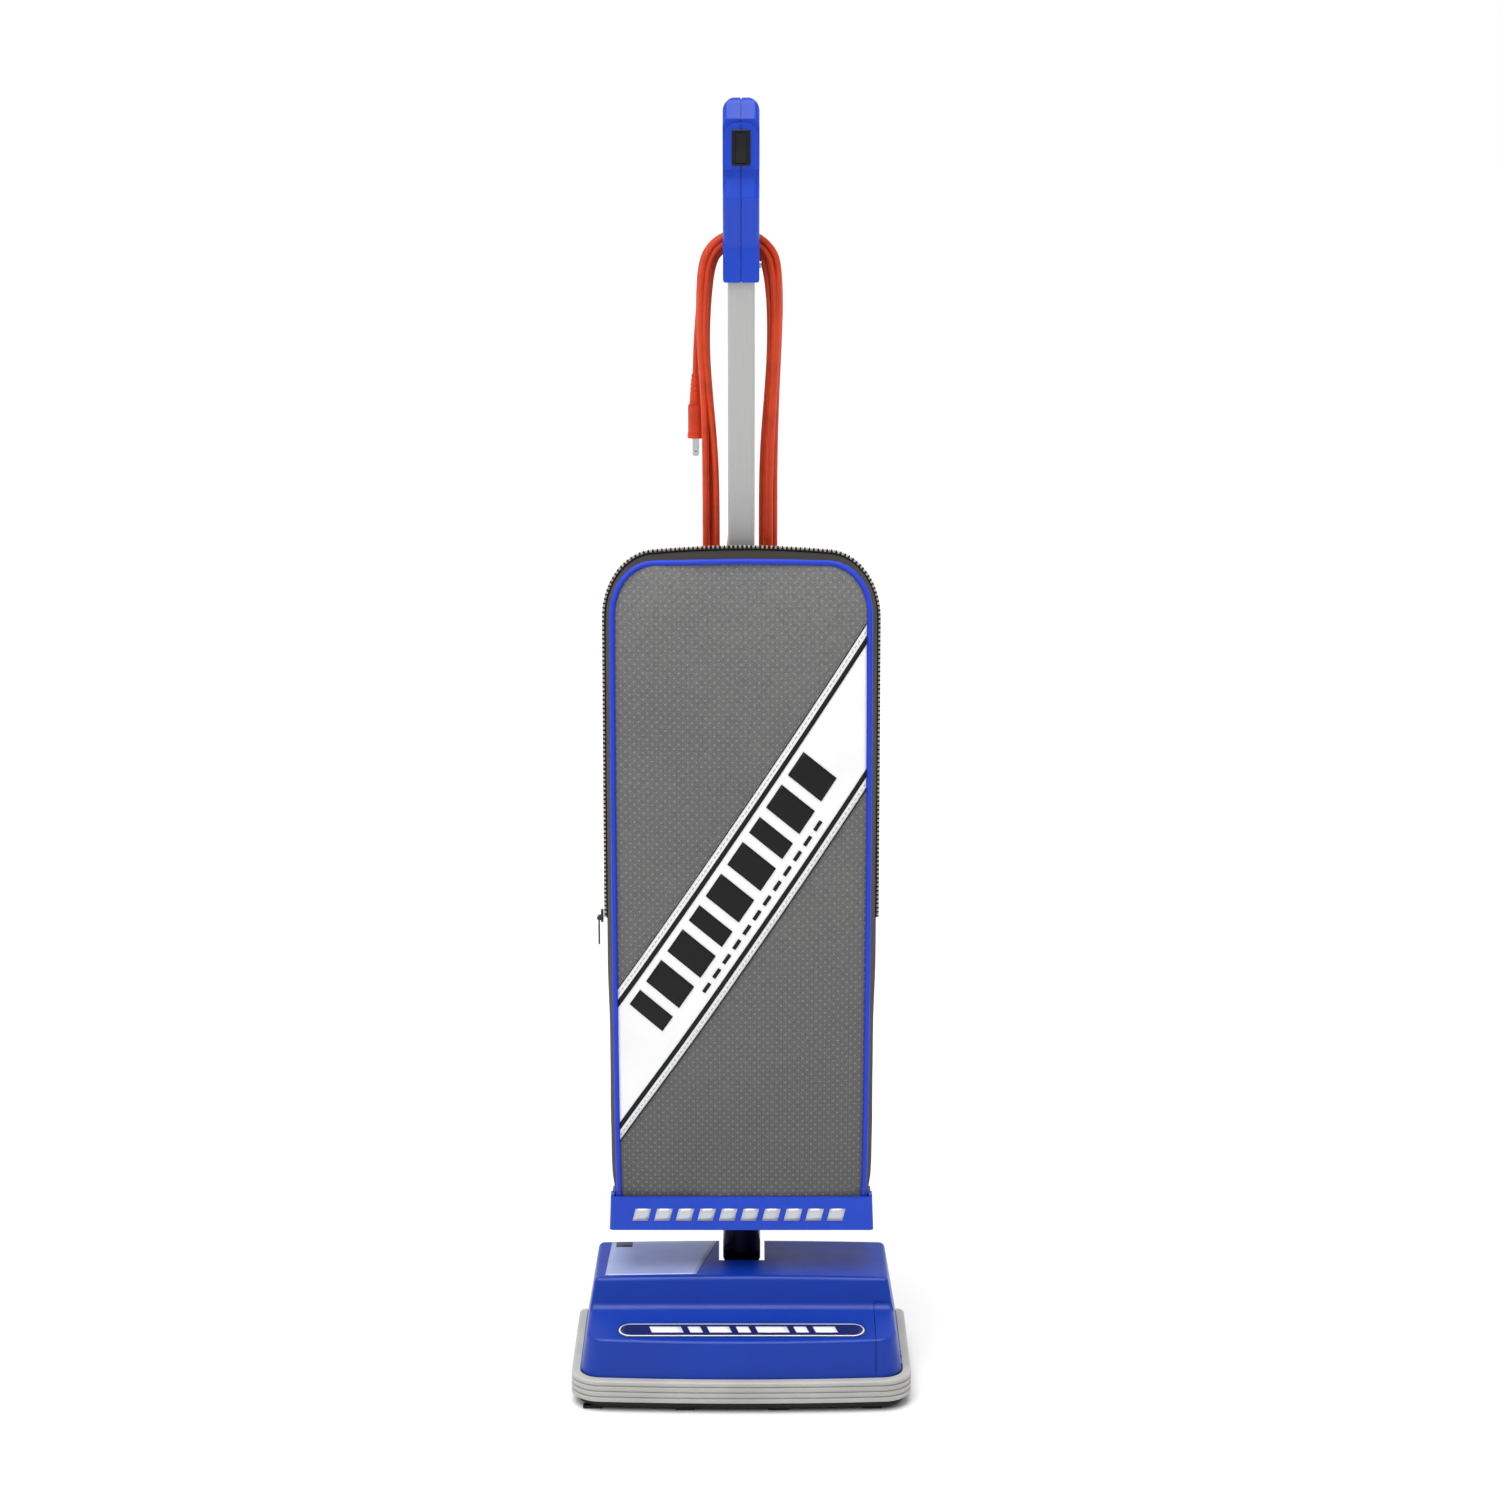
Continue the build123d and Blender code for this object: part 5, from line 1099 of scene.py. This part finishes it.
def build_hood_label():
    """The long label on the hood's shelf: a navy capsule with a white outline and plain bars."""
    hood = surface_of("hood")
    white, navy = label_paint("label_white", "e9ebee"), label_paint("label_navy", "131c55")
    x0, x1, d0, d1 = -0.1185, 0.1189, 0.0239, 0.0491
    layers = (
        ("label_edge", 0.0, 0.0003, navy),
        ("label_line", 0.0016, 0.0005, white),
        ("label_field", 0.0030, 0.0007, navy),
    )
    for name, inset, lift, paint in layers:
        grid = capsule_grid(x0, x1, d0, d1, inset)
        laid_patch(name, grid, hood, above, DOWN, lift, paint, "base")
    place = -0.088
    for i, length in enumerate(LABEL_BARS):
        grid = box_grid(place, place + length, d0 + 0.0178, d0 + 0.0074, 4, 4, BAR_LEAN)
        laid_patch(f"label_bar_{i}", grid, hood, above, DOWN, 0.0009, white, "base")
        place += length + LABEL_GAP


def build_hood_decal():
    """A plain silver panel at the left of the hood's crown, with a small dark square."""
    hood = surface_of("hood")
    silver = label_paint("decal_silver", "a3afd6", 0.38, 0.25)
    dark = label_paint("decal_dark", "1d2450")
    rows, columns = 16, 20
    grid = []
    for j in range(rows + 1):
        t = j / rows
        behind = 0.0905 + (0.178 - 0.0905) * t
        left, right = -0.1320 + (-0.1283 + 0.1320) * t, -0.0438 + (-0.0233 + 0.0438) * t
        grid.append([(left + (right - left) * i / columns, behind) for i in range(columns + 1)])
    laid_patch("crown_panel", grid, hood, above, DOWN, 0.0003, silver, "base")
    square = box_grid(-0.124, -0.108, 0.160, 0.172, 3, 3)
    laid_patch("crown_square", square, hood, above, DOWN, 0.0006, dark, "base")


def build_tray_pattern():
    """Silver bars printed on the tray's front: an even row of slanted marks."""
    tray = surface_of("bag_tray")
    silver = label_paint("tray_silver", "c6c9cf", 0.35, 0.35)
    for i in range(TRAY_BARS):
        place = -0.105 + i * TRAY_PITCH
        grid = box_grid(place, place + TRAY_BAR, TRAY_LOW, TRAY_HIGH, 3, 3, BAR_LEAN)
        laid_patch(f"tray_bar_{i}", grid, tray, before, REARWARD, 0.0003, silver, "handle")


# ---------------------------------------------------------------- finishes of the CAD parts
def finish_cad():
    """Gives each CAD part that still shows its material."""
    blue = blue_plastic("hood_blue", BLUE)
    bright = blue_plastic("grip_blue", BRIGHT_BLUE)
    black = moulded("black_gloss", "050506", 0.16, 500, 0.00002, 0.2, Specular_IOR_Level=0.4)
    matte_black = moulded("black_matte", "0a0a0b", 0.5, 1300, 0.00008, Specular_IOR_Level=0.3)
    steel = metal("zinc_steel", "b9babd", 0.32, "X")
    tyre = rubbery("wheel_rubber", "26262a")
    shared = (
        (blue, ("hood", "belt_door")),
        (bright, ("bag_tray", "grip_left", "grip_right")),
        (black, ("swivel_neck", "switch_body")),
        (matte_black, ("power_rocker", "chassis", "base_plate", "fan_housing", "fill_tube", "glides")),
        (matte_black, ("cord_hook_upper", "cord_hook_lower", "hook_bracket", "bag_clip", "roller_bearings")),
        (steel, ("door_hinge_pins", "hood_screws", "neck_screws", "grip_screws")),
        (steel, ("wheel_axles", "shaft_bearing", "motor_armature")),
        (tyre, ("tyre_left", "tyre_right")),
    )
    finishes = {name: paint for paint, names in shared for name in names}
    finishes.update({
        "plate_latch_left": moulded("latch_plastic", "3a3a3e", 0.45, 900, 0.00006),
        "plate_latch_right": moulded("latch_plastic_right", "3a3a3e", 0.45, 900, 0.00006),
        "bumper": rubbery("bumper_vinyl", "adaca8", 0.5),
        "guard_bars": metal("guard_wire", "b0b1b4", 0.3, "Y"),
        "motor_field": metal("laminations", "8d8f94", 0.4, "Y"),
        "motor_pulley": metal("pulley_aluminium", "cfd0d2", 0.3, "X"),
        "brush_bristles": bristle_nylon(),
        "edge_brushes": bristle_nylon(),
        "brush_roller": varnished_wood(),
        "drive_belt": rubbery("belt_rubber", "101012", 0.65),
        "duct_seal": rubbery("seal_rubber", "1a1a1c", 0.7),
        "motor_housing": metal("motor_case_steel", "6a6c70", 0.45, "X", metallic=0.6),
        "suction_fan": moulded("fan_grey", "4a4a4e", 0.5, 900, 0.00006),
        "pivot_bush_left": moulded("bush_acetal", "d8d6cf", 0.4, 900, 0.00004),
        "pivot_bush_right": moulded("bush_acetal_right", "d8d6cf", 0.4, 900, 0.00004),
        "motor_capacitor": moulded("capacitor_resin", "c99c2c", 0.3, 700, 0.00004),
        "base_wire": rubbery("wire_rubber", "18181a", 0.5),
        "handle_wire": rubbery("wire_rubber_upper", "18181a", 0.5),
        "wheel_left": moulded("wheel_hub", "1d1d20", 0.4, 900, 0.00005),
        "wheel_right": moulded("wheel_hub_right", "1d1d20", 0.4, 900, 0.00005),
        "paper_bag": filter_paper(),
        "paper_bag_collar": filter_paper(),
        "zip_slider": metal("slider_metal", "3b3c40", 0.3, "Z"),
        "zip_pull": metal("pull_metal", "4a4b50", 0.3, "Z"),
        "handle_tube": metal("tube_aluminium", "b9b9b8", 0.42, "Z", 0.08, metallic=0.35),
        "strain_relief": vinyl_cord(),
        "plug_body": vinyl_cord(),
        "plug_blades": metal("blade_nickel", "b9babd", 0.18, "Z"),
    })
    for name, paint in finishes.items():
        obj = frame["nodes"][name]
        if not obj.material_slots:
            obj.data.materials.append(paint.material)
        for slot in obj.material_slots:
            slot.material = paint.material


add_camera()
add_studio()
build_cord()
build_ribs()
build_bag()
build_piping()
build_band()
build_zip()
build_hood_label()
build_hood_decal()
build_tray_pattern()
finish_cad()
